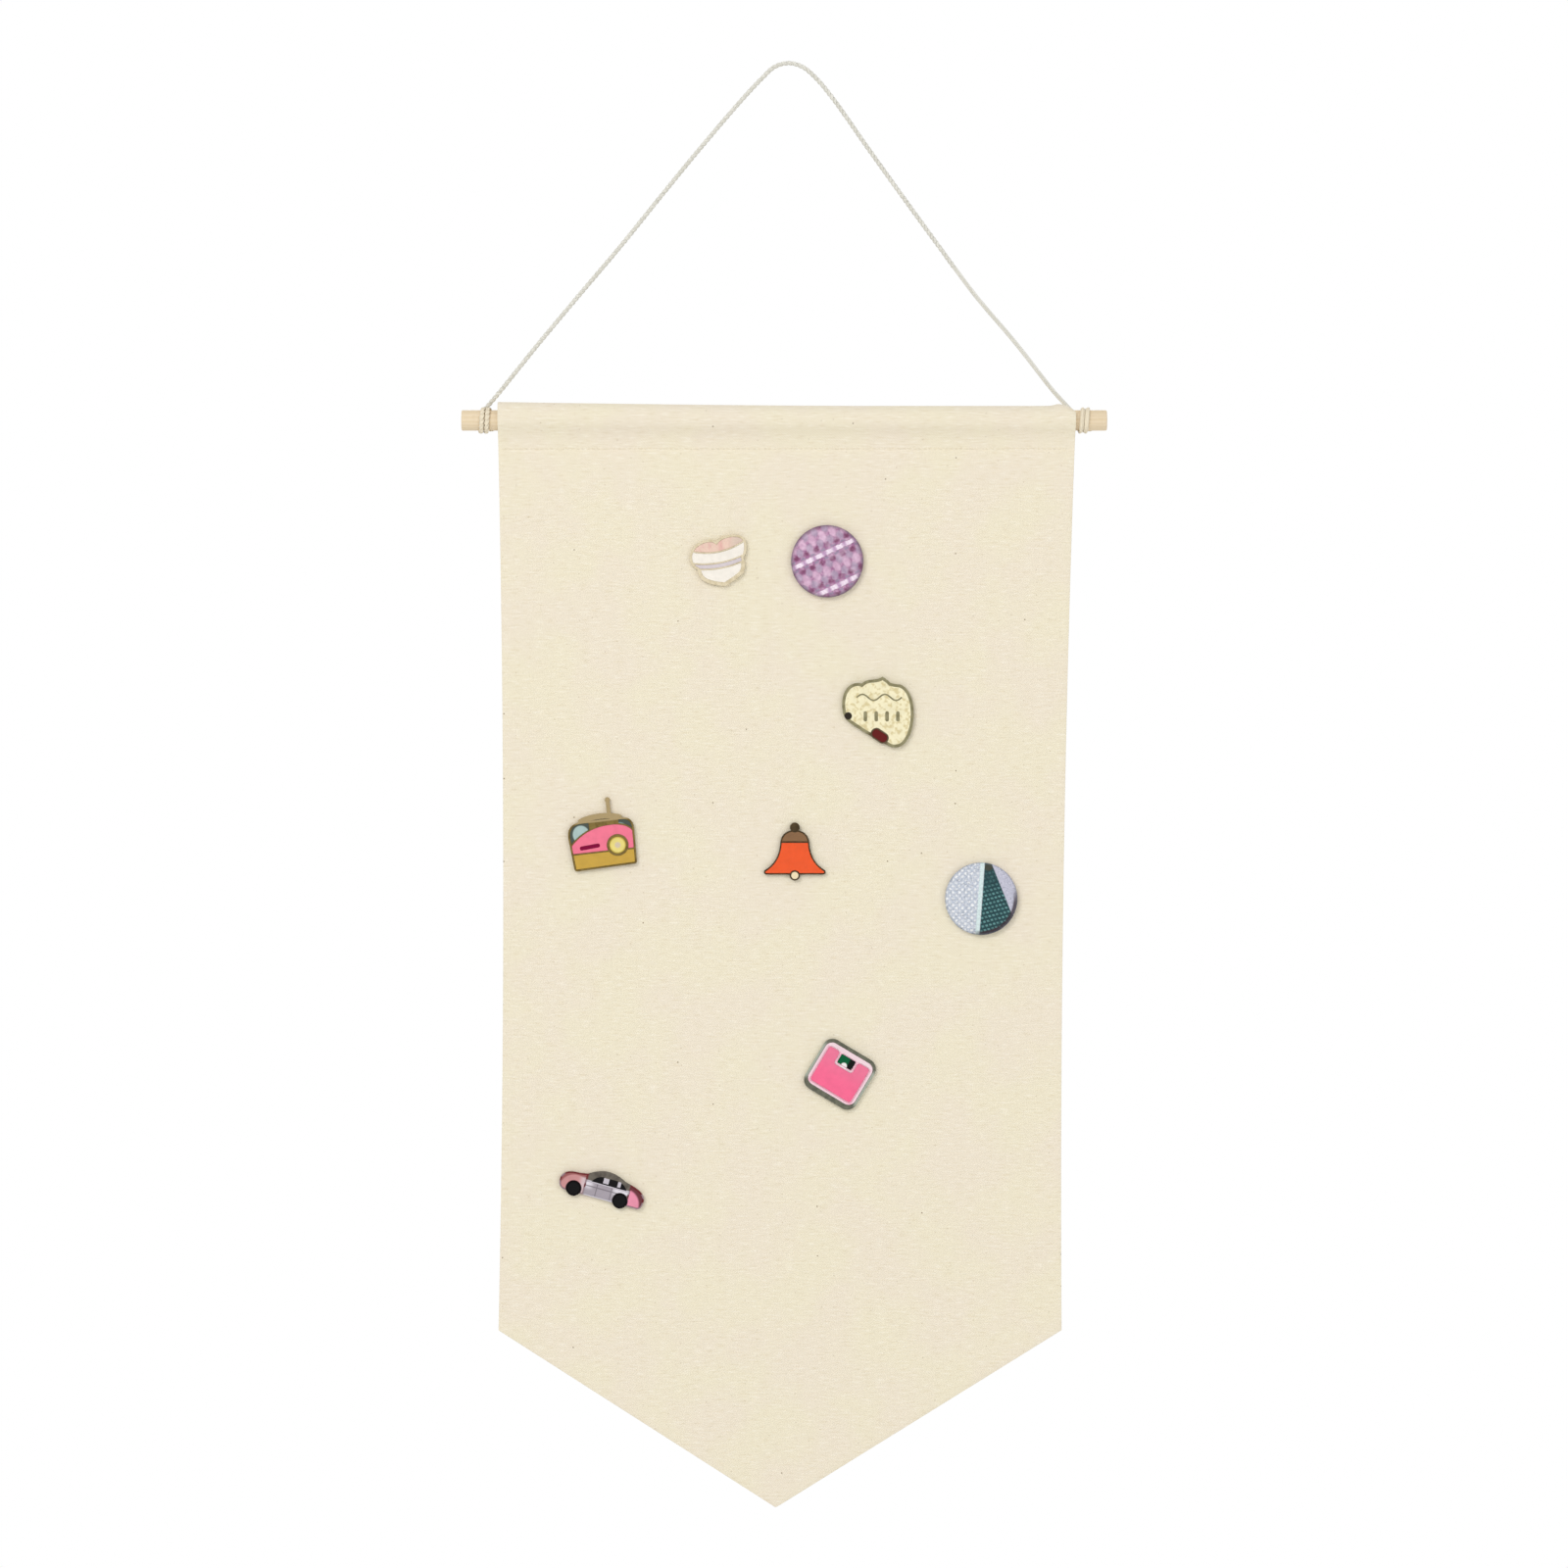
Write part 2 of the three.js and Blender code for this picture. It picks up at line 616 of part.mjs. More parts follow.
// A drawing's unit is what one of its millimetres measures on the pin, so a wider pin is a larger drawing
function makeEnamelPin(name, unit, outlines, cells, metal) {
  const sized = (loop) => loop.map((at) => at.clone().multiplyScalar(unit));
  const sizedCells = cells.map((cell) => ({
    ...cell, inside: cell.inside.map(sized), around: (cell.around ?? []).map(sized),
  }));
  const pockets = sizedCells.map((cell) => cellSolid(cell, 0, PIN_FLOOR, 2 * PIN_THICKNESS));
  const plates = outlines.map((loop) => solidPrism(sized(loop), 0, PIN_THICKNESS));
  const posts = (POSTS[name] ?? [[0, 0]]).map(([x, y]) => toManifold(makePost().translate(x, y, 0)));
  const back = join(cut(join(...plates), ...pockets), ...posts);
  const fills = sizedCells.map((cell) => {
    const solid = cellSolid(cell, FILL_GAP, PIN_FLOOR + FILL_GAP, PIN_THICKNESS - FILL_SUNK);
    return piece(`${name}_${cell.name}`, toGeometry(solid), enamel(cell.colour));
  });
  return [piece(`${name}_back`, toGeometry(back), metal), ...fills];
}

// Layered sweet: a two-humped top, a pale band, a thin filling and a narrower pale band under it
function makeSweet() {
  const drawn = 27;
  const unit = SWEET_WIDTH / drawn;
  const rim = PIN_RIM / unit;
  const outline = new THREE.Shape();
  outline.moveTo(-13.0, 1.8);
  outline.bezierCurveTo(-13.2, 6.5, -8.5, 9.9, -3.0, 9.7);
  outline.quadraticCurveTo(-0.8, 9.6, 0.4, 8.2);
  outline.quadraticCurveTo(2.6, 10.2, 7.0, 10.2);
  outline.bezierCurveTo(11.0, 10.2, 13.9, 8.6, 14.0, 5.6);
  outline.bezierCurveTo(14.1, 2.6, 13.0, 0.2, 11.5, -1.4);
  outline.bezierCurveTo(12.2, -4.0, 11.6, -7.0, 9.6, -8.6);
  outline.bezierCurveTo(6.5, -10.8, 3.6, -11.6, 1.2, -12.8);
  outline.bezierCurveTo(-2.5, -11.9, -7.5, -10.4, -9.4, -7.6);
  outline.quadraticCurveTo(-10.6, -5.6, -10.4, -3.0);
  outline.quadraticCurveTo(-12.8, -1.4, -13.0, 1.8);
  const edge = loopOf(outline);
  const field = inset(edge, rim);
  const [reach, steps, top] = [15, 5, 20];
  const bowedLine = (height, bow) => Array.from({ length: steps + 1 }, (_, i) => {
    const x = THREE.MathUtils.lerp(-reach, reach, i / steps);
    return point(x, height + bow * x * x);
  });
  const band = (low, high) => [...bowedLine(...low), ...bowedLine(...high).reverse()];
  return makeEnamelPin('sweet', unit, [edge], [
    { name: 'top', colour: 0xf0c2bb, inside: [field, band([3.7, 0.017], [top, 0])] },
    { name: 'upper_band', colour: 0xfbf4ee, inside: [field, band([-1.4, 0.012], [3.7 - rim, 0.017])] },
    { name: 'filling', colour: 0xcdc3d6, inside: [field, band([-3.9, 0.012], [-1.4 - rim, 0.012])] },
    { name: 'lower_band', colour: 0xfaf3ec, inside: [field, band([-top, 0], [-3.9 - rim, 0.012])] },
  ], FINISHES.paleLine);
}

// Bubble: a lobed cloud with a wavy line, a row of raised bars, a stud and a small patch on its edge
function makeBubble() {
  const drawn = 33.2;
  const unit = BUBBLE_WIDTH / drawn;
  const rim = 2 * PIN_RIM / unit;
  const outline = new THREE.Shape();
  outline.moveTo(-17.2, 3.6);
  outline.bezierCurveTo(-17.4, 8.2, -15.6, 12.8, -11.4, 13.9);
  outline.quadraticCurveTo(-9.4, 14.3, -8.2, 13.7);
  outline.quadraticCurveTo(-6.2, 15.6, -3.2, 15.6);
  outline.quadraticCurveTo(-0.4, 15.7, 1.5, 17.0);
  outline.quadraticCurveTo(3.4, 15.9, 5.2, 14.1);
  outline.quadraticCurveTo(7.4, 13.5, 9.6, 13.4);
  outline.bezierCurveTo(13.6, 12.0, 15.9, 7.0, 16.0, 0);
  outline.bezierCurveTo(16.0, -7.0, 13.6, -13.8, 9.6, -15.4);
  outline.quadraticCurveTo(6.2, -16.6, 3.4, -14.5);
  outline.lineTo(-7.0, -8.8);
  outline.lineTo(-13.6, -4.4);
  outline.bezierCurveTo(-16.4, -2.4, -17.0, 0.2, -17.2, 3.6);
  const edge = loopOf(outline);
  const patch = turned(roundedRectangle(7.6, 4.0, 1.9), -34, 0.2, -10.4);
  const patchFrame = inset(patch, -PIN_RIM / unit);
  const stud = circle(-14.4, -1.2, 1.7);
  const bars = [-6.4, -1.4, 3.6, 8.6].map((x) => moved(roundedRectangle(1.5, 4.6, 0.7), x, -1.4));
  const wave = [];
  const [waveLeft, waveRight, waveSteps, waveTurns] = [-10.4, 10.4, 16, 2];
  for (let i = 0; i <= waveSteps; i += 1) {
    const share = i / waveSteps;
    const height = 7.4 + 1.4 * Math.sin(2 * Math.PI * waveTurns * share);
    wave.push(point(THREE.MathUtils.lerp(waveLeft, waveRight, share), height));
  }
  return makeEnamelPin('bubble', unit, [edge, patchFrame, stud], [
    {
      name: 'face',
      colour: 0xf3ebc8,
      inside: [inset(edge, rim)],
      around: [patchFrame, stud, ...bars, ribbon(wave, PIN_RIM / unit)],
    },
    { name: 'patch', colour: 0x7a2420, inside: [patch] },
  ], FINISHES.goldLine);
}

// Radio: a case with a handle and an aerial, a two-tone front, corner windows and a round dial
function makeRadio() {
  const drawn = 30.8;
  const unit = RADIO_WIDTH / drawn;
  const rim = 1.4 * PIN_RIM / unit;
  const outline = new THREE.Shape();
  outline.moveTo(-12.6, -11.4);
  outline.lineTo(13.6, -10.8);
  outline.quadraticCurveTo(14.9, -10.7, 14.9, -9.6);
  outline.lineTo(15.3, 5.6);
  outline.quadraticCurveTo(15.3, 11.0, 10.2, 11.2);
  outline.lineTo(-9.0, 11.2);
  outline.quadraticCurveTo(-15.4, 10.8, -15.5, 4.6);
  outline.lineTo(-14.3, -10.2);
  outline.quadraticCurveTo(-14.2, -11.4, -12.6, -11.4);
  const edge = loopOf(outline);
  const field = inset(edge, rim);
  const handle = new THREE.CubicBezierCurve(
    point(-9.6, 10.8), point(-6.0, 13.4), point(6.0, 13.6), point(9.8, 10.9));
  const handleLoop = ribbon(handle.getPoints(2 * CURVE_SEGMENTS), 2.6);
  const aerial = rectangle(3.6, 12, 5.4, 20.0);
  const aerialTip = circle(4.5, 20.0, 1.2);
  const [dialX, dialY, dialRadius] = [6.9, -1.3, 3.9];
  const dialRing = circle(dialX, dialY, dialRadius + 1.1);
  const waist = -3.3; // where the two tones meet
  const wide = 20;
  const brow = new THREE.Shape(); // the coloured front, under a curved brow
  brow.moveTo(-wide, waist);
  brow.lineTo(wide, waist);
  brow.lineTo(wide, 4.6);
  brow.lineTo(14.4, 4.8);
  brow.quadraticCurveTo(11.5, 8.6, 4, 8.4);
  brow.quadraticCurveTo(-7, 8.2, -14.6, 0.2);
  brow.lineTo(-wide, 0.2);
  const browLoop = loopOf(brow);
  const slot = turned(roundedRectangle(9.3, 1.7, 0.8), 4, -6.0, -0.8);
  const overBrow = inset(browLoop, -PIN_RIM / unit);
  return makeEnamelPin('radio', unit, [edge, handleLoop, aerial, aerialTip], [
    { name: 'face', colour: 0xee6f93, inside: [field, browLoop], around: [dialRing, slot] },
    {
      name: 'skirt',
      colour: 0xd9a648,
      inside: [field, rectangle(-wide, -wide, wide, waist - PIN_RIM / unit)],
      around: [dialRing],
    },
    {
      name: 'window_left',
      colour: 0x9fb9b4,
      inside: [field, rectangle(-wide, waist, -5.4, wide)],
      around: [overBrow],
    },
    {
      name: 'window_right',
      colour: 0x8fa9a6,
      inside: [field, rectangle(8.4, waist, wide, wide)],
      around: [overBrow],
    },
    { name: 'dial', colour: 0xf2e3a6, inside: [circle(dialX, dialY, dialRadius)] },
  ], FINISHES.goldLine);
}

// Bell: a ring, a crown, a flared body down to a straight lip, and a clapper under the lip
function makeBell() {
  const drawn = 27.9;
  const unit = BELL_WIDTH / drawn;
  const rim = PIN_RIM / unit;
  const outline = new THREE.Shape();
  outline.moveTo(-13.0, -10.8);
  outline.lineTo(13.0, -10.8);
  outline.quadraticCurveTo(14.4, -10.4, 13.8, -9.0);
  outline.bezierCurveTo(9.0, -6.0, 7.0, -2.0, 6.6, 3.4);
  outline.bezierCurveTo(6.4, 7.4, 3.6, 9.4, 0, 9.4);
  outline.bezierCurveTo(-3.6, 9.4, -6.4, 7.4, -6.6, 3.4);
  outline.bezierCurveTo(-7.0, -2.0, -9.0, -6.0, -13.8, -9.0);
  outline.quadraticCurveTo(-14.4, -10.4, -13.0, -10.8);
  const edge = loopOf(outline);
  const field = inset(edge, rim);
  const ring = circle(0, 10.6, 2.2);
  const [clapperY, clapperRadius] = [-11.2, 1.7];
  const clapperRing = circle(0, clapperY, clapperRadius + rim);
  const [shoulder, wide] = [4.2, 20];
  return makeEnamelPin('bell', unit, [edge, ring, clapperRing], [
    {
      name: 'skirt',
      colour: 0xf0592a,
      inside: [field, rectangle(-wide, -wide, wide, shoulder - rim)],
      around: [clapperRing],
    },
    {
      name: 'crown',
      colour: 0x7d5a33,
      inside: [field, rectangle(-wide, shoulder, wide, wide)],
      around: [ring],
    },
    { name: 'clapper', colour: 0xf1ddb0, inside: [circle(0, clapperY, clapperRadius)] },
  ], FINISHES.brownLine);
}

// Bathroom scale: a rounded plate, a pale border that goes round its reading window, and the window
function makeScale() {
  const drawn = 27.4;
  const unit = SCALE_WIDTH / drawn;
  const [height, corner, plateCorner, line] = [26.0, 4.8, 1.6, 0.3];
  const edge = roundedRectangle(drawn, height, corner);
  const field = moved(roundedRectangle(25.0, 22.0, 3.6), 0, 0.35);
  const [side, top, bottom, notchLeft, notchRight, notchBottom] = [10.8, 9.0, -9.1, -5.2, 4.6, 2.9];
  const plate = roundedPolygon([
    point(-side, bottom), point(side, bottom), point(side, top), point(notchRight, top),
    point(notchRight, notchBottom), point(notchLeft, notchBottom), point(notchLeft, top), point(-side, top),
  ], plateCorner);
  const glass = moved(roundedRectangle(7.6, 4.6, 0.6), -0.3, 6.4);
  return makeEnamelPin('scale', unit, [edge], [
    {
      name: 'border',
      colour: 0xf3dde2,
      inside: [field],
      around: [inset(plate, -line), inset(glass, -line)],
    },
    { name: 'plate', colour: 0xf27ba0, inside: [plate] },
    { name: 'window', colour: 0x12402f, inside: [glass] },
  ], FINISHES.darkLine);
}

// Car: a low side view with a long tail, a metal roof over a row of windows, two-tone sides, two wheels
function makeCar() {
  const drawn = 40.4;
  const unit = CAR_LENGTH / drawn;
  const rim = PIN_RIM / unit;
  const outline = new THREE.Shape();
  outline.moveTo(-19.8, -1.4);
  outline.bezierCurveTo(-20.4, 2.6, -17.2, 4.6, -12.5, 4.6);
  outline.quadraticCurveTo(-9.6, 4.8, -7.6, 5.4);
  outline.quadraticCurveTo(-3.2, 8.4, 1.0, 8.6);
  outline.quadraticCurveTo(5.6, 8.6, 9.8, 6.2);
  outline.bezierCurveTo(14.0, 5.2, 19.8, 4.0, 20.3, 0.2);
  outline.quadraticCurveTo(20.6, -4.4, 18.0, -4.6);
  outline.lineTo(-16.6, -4.6);
  outline.quadraticCurveTo(-19.4, -4.4, -19.8, -1.4);
  const edge = loopOf(outline);
  const field = inset(edge, rim);
  const [wheelRadius, wheelY] = [3.5, -3.0];
  const wheels = { rear: -12.6, front: 9.6 };
  const tyres = Object.values(wheels).map((x) => circle(x, wheelY, wheelRadius));
  const arches = Object.values(wheels).map((x) => circle(x, wheelY, wheelRadius + 0.2));
  const [tailDoor, noseDoor, sill, wide] = [-8.2, 13.0, 2.3, 30];
  const glass = new THREE.Shape();
  glass.moveTo(-5.4, sill);
  glass.lineTo(11.4, sill);
  glass.quadraticCurveTo(9.6, 5.4, 6.4, 5.6);
  glass.lineTo(-0.6, 5.6);
  glass.quadraticCurveTo(-3.6, 5.2, -5.4, sill);
  const pillars = [[-0.1, 2.5], [6.7, 8.2]].map(([left, right]) => rectangle(left, sill + 0.6, right, 9));
  const bodyBand = (left, right) => rectangle(left, -wide, right, wide);
  const belowSill = rectangle(-wide, -wide, wide, sill - 0.5);
  const parts = [
    {
      name: 'tail', colour: 0xe79aa8, inside: [field, bodyBand(-wide, tailDoor)], around: arches,
    },
    {
      name: 'doors',
      colour: 0xd9d4e2,
      inside: [field, bodyBand(tailDoor + rim, noseDoor - rim), belowSill],
      around: arches,
    },
    {
      name: 'nose', colour: 0xec8fb0, inside: [field, bodyBand(noseDoor, wide)], around: arches,
    },
    { name: 'glass', colour: 0x17181c, inside: [field, loopOf(glass)], around: pillars },
  ];
  Object.entries(wheels).forEach(([end, x]) => {
    parts.push({
      name: `wheel_${end}`, colour: 0x0c0b0d, inside: [circle(x, wheelY, wheelRadius - rim)],
    });
  });
  return makeEnamelPin('car', unit, [edge, ...tyres], parts, FINISHES.darkLine);
}

// Cloth-covered buttons: a domed cover turned in at the back, a pressed shell inside, a back disc

// Points on a dome, from its rim at one radius and height in to its crown
function domeLine(radius, height, rise) {
  const steps = 4;
  const ball = (radius * radius + rise * rise) / (2 * rise);
  const line = [];
  for (let i = 0; i <= steps; i += 1) {
    const at = radius * (1 - i / steps);
    line.push([at, height + Math.sqrt(ball * ball - at * at) - (ball - rise)]);
  }
  return line;
}

function makeButton(name, colour) {
  const inside = BUTTON_RADIUS - BUTTON_COVER;
  const lipTop = BUTTON_COVER;
  const shellRadius = inside - BUTTON_FIT;
  const shellFoot = lipTop + BUTTON_FIT;
  const discRadius = shellRadius - BUTTON_SHELL - BUTTON_FIT;
  const cover = revolve([
    ...domeLine(inside, BUTTON_SKIRT, BUTTON_RISE - BUTTON_COVER).reverse(),
    [inside, lipTop],
    [BUTTON_RADIUS - BUTTON_LIP, lipTop],
    [BUTTON_RADIUS - BUTTON_LIP, 0],
    [BUTTON_RADIUS - BUTTON_COVER, 0],
    [BUTTON_RADIUS, BUTTON_COVER],
    ...domeLine(BUTTON_RADIUS, BUTTON_SKIRT, BUTTON_RISE),
  ], BUTTON_SEGMENTS);
  const shellInside = shellRadius - BUTTON_SHELL;
  const shellRise = BUTTON_RISE - BUTTON_COVER - BUTTON_FIT;
  const shell = revolve([
    ...domeLine(shellInside, BUTTON_SKIRT, shellRise - BUTTON_SHELL).reverse(),
    [shellInside, shellFoot],
    [shellRadius, shellFoot],
    ...domeLine(shellRadius, BUTTON_SKIRT, shellRise),
  ], BUTTON_SEGMENTS);
  const disc = join(
    toManifold(revolve([
      [0, shellFoot],
      [discRadius, shellFoot],
      [discRadius, shellFoot + BUTTON_DISC],
      [0, shellFoot + BUTTON_DISC],
    ], BUTTON_SEGMENTS)),
    toManifold(makePost().translate(0, 0, shellFoot)),
  );
  return [
    piece(`${name}_cover`, cover, wovenCover(colour)),
    piece(`${name}_shell`, shell, FINISHES.tin),
    piece(`${name}_back`, toGeometry(disc), FINISHES.tin),
  ];
}

// The board

const MAKERS = {
  sweet: makeSweet,
  tweed: () => makeButton('tweed', 0xa884b4),
  bubble: makeBubble,
  radio: makeRadio,
  bell: makeBell,
  knit: () => makeButton('knit', 0xb9cbd6),
  scale: makeScale,
  car: makeCar,
};

function makeBadge(name) {
  const { x, z, tilt, wings } = BADGES[name];
  const badge = new THREE.Group();
  badge.add(...MAKERS[name]());
  const posts = POSTS[name] ?? [[0, 0]];
  posts.forEach(([postX, postY], i) => {
    const label = posts.length > 1 ? `${name}_${i === 0 ? 'rear' : 'front'}` : name;
    badge.add(makeClutch(label, postX, postY, wings));
  });
  badge.position.set(x, CANVAS_FRONT_Y - SEAT, z);
  badge.rotation.set(Math.PI / 2, 0, radians(tilt));
  return badge;
}

const board = new THREE.Group();
board.position.set(DOWEL_SHIFT, 0, -DOWEL_DROP);
board.add(
  makeDowel(),
  makeWinding('left_winding', LEFT_WINDING_X),
  makeWinding('right_winding', RIGHT_WINDING_X),
  makePanel('front_panel', OUTER_LAYER_RADIUS, FRONT_LAYER_Y, FINISHES.canvas),
  makePanel('back_panel', INNER_LAYER_RADIUS, LINING_LAYER_Y, FINISHES.lining),
  ...Object.keys(BADGES).map(makeBadge),
);

const pinBadgeBoard = new THREE.Group();
pinBadgeBoard.add(makeSpan(), board);

export default pinBadgeBoard;
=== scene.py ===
# %% [markdown]
# # Dressing a pin badge board
# A canvas pennant hangs from a dowel by one cotton cord, and eight pin badges are pushed through the
# cloth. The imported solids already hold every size, place and joint. This lesson gives the board its
# looks: each soft piece is modelled again as cloth or cord, each pin gets struck metal and glossy
# enamel, and every surface gets a material made of nodes. Nothing here moves a solid.

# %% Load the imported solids
import json
import math
from collections import namedtuple

import bmesh
import bpy
from mathutils import Matrix, Vector
from mathutils.geometry import interpolate_bezier


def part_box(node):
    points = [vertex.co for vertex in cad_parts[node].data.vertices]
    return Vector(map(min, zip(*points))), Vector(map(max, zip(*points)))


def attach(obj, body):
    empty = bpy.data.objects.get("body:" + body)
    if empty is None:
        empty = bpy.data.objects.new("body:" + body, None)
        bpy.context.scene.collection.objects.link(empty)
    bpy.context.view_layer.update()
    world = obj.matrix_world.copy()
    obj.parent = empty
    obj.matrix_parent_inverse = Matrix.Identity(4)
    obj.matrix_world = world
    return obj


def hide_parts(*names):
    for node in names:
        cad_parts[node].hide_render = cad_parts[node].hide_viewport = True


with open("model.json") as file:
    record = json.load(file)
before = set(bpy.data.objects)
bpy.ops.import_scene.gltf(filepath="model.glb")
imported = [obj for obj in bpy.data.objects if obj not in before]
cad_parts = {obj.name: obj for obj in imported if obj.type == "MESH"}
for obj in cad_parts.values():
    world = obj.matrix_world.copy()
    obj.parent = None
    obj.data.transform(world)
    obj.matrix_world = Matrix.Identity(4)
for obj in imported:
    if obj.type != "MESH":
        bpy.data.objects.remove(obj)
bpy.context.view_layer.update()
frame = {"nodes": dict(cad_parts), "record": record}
MM = 0.001  # the frame is in metres, and the sizes below are in millimetres

# %% [markdown]
# ## The view
# The photograph looks straight at the board from far away, so the camera is a long lens three metres
# off, level with the middle of the picture. The span of the picture at the board fixes the lens.

# %% Camera
SENSOR = 36.0
CAMERA_DISTANCE = 3.0
PHOTO_SPAN = 726.7 * MM
PHOTO_MIDDLE = Vector((-2.3, 0.0, -333.0)) * MM

scene = bpy.context.scene
scene.view_settings.view_transform = "Standard"
lens = bpy.data.cameras.new("camera")
lens.sensor_width = SENSOR
lens.lens = SENSOR * CAMERA_DISTANCE / PHOTO_SPAN
camera = bpy.data.objects.new("camera", lens)
camera.location = PHOTO_MIDDLE + Vector((0.0, -CAMERA_DISTANCE, 0.0))
camera.rotation_euler = (math.radians(90), 0.0, 0.0)
scene.collection.objects.link(camera)
scene.camera = camera
print("lens:", round(lens.lens, 1), "mm")

# %% [markdown]
# ## Sums written as sums
# A material is a tree of small nodes, and a formula soon takes a dozen of them. Wrapping a socket in a
# class that knows +, -, * and / lets the formula be written as Python: each sign adds one Math node.
# Every other node comes from one method, which sets the node's settings first and its inputs after.


# %% A socket that can be added and multiplied
class Socket:
    """An output of a node. Each sign between sockets, or a socket and a number, adds a Math node."""

    def __init__(self, sheet, socket):
        self.sheet = sheet
        self.socket = socket

    def side(self, name):
        """Another output of the same node."""
        return Socket(self.sheet, self.socket.node.outputs[name])

    def maths(self, operation, *values):
        return self.sheet.add("ShaderNodeMath", {"operation": operation}, dict(enumerate(values)))

    def __add__(self, other):
        return self.maths("ADD", self, other)

    def __radd__(self, other):
        return self.maths("ADD", other, self)

    def __sub__(self, other):
        return self.maths("SUBTRACT", self, other)

    def __rsub__(self, other):
        return self.maths("SUBTRACT", other, self)

    def __mul__(self, other):
        return self.maths("MULTIPLY", self, other)

    def __rmul__(self, other):
        return self.maths("MULTIPLY", other, self)

    def __truediv__(self, other):
        return self.maths("DIVIDE", self, other)

    def __gt__(self, other):
        return self.maths("GREATER_THAN", self, other)

    def __abs__(self):
        return self.maths("ABSOLUTE", self)

    def wave(self, period):
        """A sine of this value that repeats after two periods, so its size repeats after one."""
        return self.maths("SINE", self * (math.pi / period))

    def back_and_forth(self, reach):
        """Climbs from 0 to the reach and back again, over and over."""
        return self.maths("PINGPONG", self, reach)

    def fade(self, low, high):
        """0 below low and 1 above high, smooth between them. With low above high it runs the other way."""
        inputs = {"Value": self, "From Min": low, "From Max": high}
        return self.sheet.add("ShaderNodeMapRange", {"interpolation_type": "SMOOTHSTEP"}, inputs)


print("signs become nodes through", Socket.__name__)

# %% [markdown]
# ## A sheet of nodes
# Each material and the world have a tree of nodes. One class empties the tree and adds to it. Its short
# methods stand for the few groups of nodes that the finishes need again and again: a moved or stretched
# pattern, a mix of two colours, a bump.


# %% The class of a sheet
class NodeSheet:
    """The node tree of one material, or of the world."""

    def __init__(self, owner):
        owner.use_nodes = True
        self.owner = owner
        self.tree = owner.node_tree
        self.tree.nodes.clear()

    def add(self, kind, settings=None, inputs=None, out=0):
        """Adds a node: its settings, then its inputs by name or number. Returns one of its outputs."""
        node = self.tree.nodes.new(kind)
        for name, value in (settings or {}).items():
            setattr(node, name, value)
        for key, value in (inputs or {}).items():
            if isinstance(value, Socket):
                self.tree.links.new(value.socket, node.inputs[key])
            else:
                node.inputs[key].default_value = value
        return Socket(self, node.outputs[out]) if node.outputs else node

    def place(self, location=(0, 0, 0), turn=0.0, scale=(1, 1, 1)):
        """Object coordinates moved so that location is the middle, then turned about Y and scaled."""
        at = self.add("ShaderNodeTexCoord", out="Object")
        moved = self.mapped(at, location=[-value for value in location])
        return self.mapped(moved, rotation=(0, turn, 0), scale=scale)

    def mapped(self, vector, location=(0, 0, 0), rotation=(0, 0, 0), scale=(1, 1, 1)):
        inputs = {"Vector": vector, "Location": location, "Rotation": rotation, "Scale": scale}
        return self.add("ShaderNodeMapping", {}, inputs)

    def noise(self, vector, scale, detail=2.0):
        return self.add("ShaderNodeTexNoise", {}, {"Vector": vector, "Scale": scale, "Detail": detail})

    def stretched(self, vector, scale, detail=2.0, rotation=(0, 0, 0)):
        """Noise with a scale of its own along each axis."""
        return self.noise(self.mapped(vector, rotation=rotation, scale=scale), 1.0, detail)

    def split(self, vector):
        """The X of a vector, whose side("Y") and side("Z") are the others."""
        return self.add("ShaderNodeSeparateXYZ", {}, {0: vector}, out="X")

    def mix(self, share, first, second):
        """Two colours, mixed by a share. The sockets 6, 7 and 2 are the node's colour ones."""
        return self.add("ShaderNodeMix", {"data_type": "RGBA"}, {0: share, 6: first, 7: second}, out=2)

    def bump(self, height, depth, strength=1.0):
        """A bump whose height runs from 0 to 1 over a depth in metres."""
        return self.add("ShaderNodeBump", {}, {"Height": height, "Distance": depth, "Strength": strength})

    def close(self, sockets):
        """Ends a material with one shader, whose sockets these are, and returns the material."""
        shader = self.add("ShaderNodeBsdfPrincipled", {}, sockets)
        self.add("ShaderNodeOutputMaterial", {}, {"Surface": shader})
        return self.owner


print("trees are filled through", NodeSheet.__name__)

# %% [markdown]
# ## Colours
# A paint chart and a picture give a colour as it looks on screen, from 0 to 255. A shader counts light,
# which isn't the same, so every colour goes through the curve of the screen standard once.


# %% From a paint chart to a shader
def paint(red, green, blue):
    """A colour given as it looks on screen, turned into the linear values of a shader."""
    def linear(value):
        share = value / 255
        return share / 12.92 if share <= 0.04045 else ((share + 0.055) / 1.055) ** 2.4
    return (linear(red), linear(green), linear(blue), 1.0)


def new_finish(name):
    return NodeSheet(bpy.data.materials.new(name))


WHITE = paint(255, 255, 255)
print("white is", WHITE)

# %% [markdown]
# ## A plain studio
# The photograph has a white ground and hardly any shade, so most of the light comes from the world and
# soft boxes only add a little shape. The world is plain white to the camera and to mirrors, and dimmer
# as a lamp, so that a colour looks as it is written.

# %% World and lamps
ROOM_LIGHT = 0.62

world = bpy.data.worlds.new("studio")
scene.world = world
sky = NodeSheet(world)
ray = sky.add("ShaderNodeLightPath", out="Is Camera Ray")
mirrored = ray.maths("MAXIMUM", ray.side("Is Glossy Ray"), ray.side("Is Transmission Ray"))
seen = ray.maths("MAXIMUM", ray, mirrored)
dim = sky.add("ShaderNodeBackground", {}, {"Color": WHITE, "Strength": ROOM_LIGHT})
plain = sky.add("ShaderNodeBackground", {}, {"Color": WHITE, "Strength": 1.0})
light = sky.add("ShaderNodeMixShader", {}, {0: seen, 1: dim, 2: plain})
sky.add("ShaderNodeOutputWorld", {}, {"Surface": light})


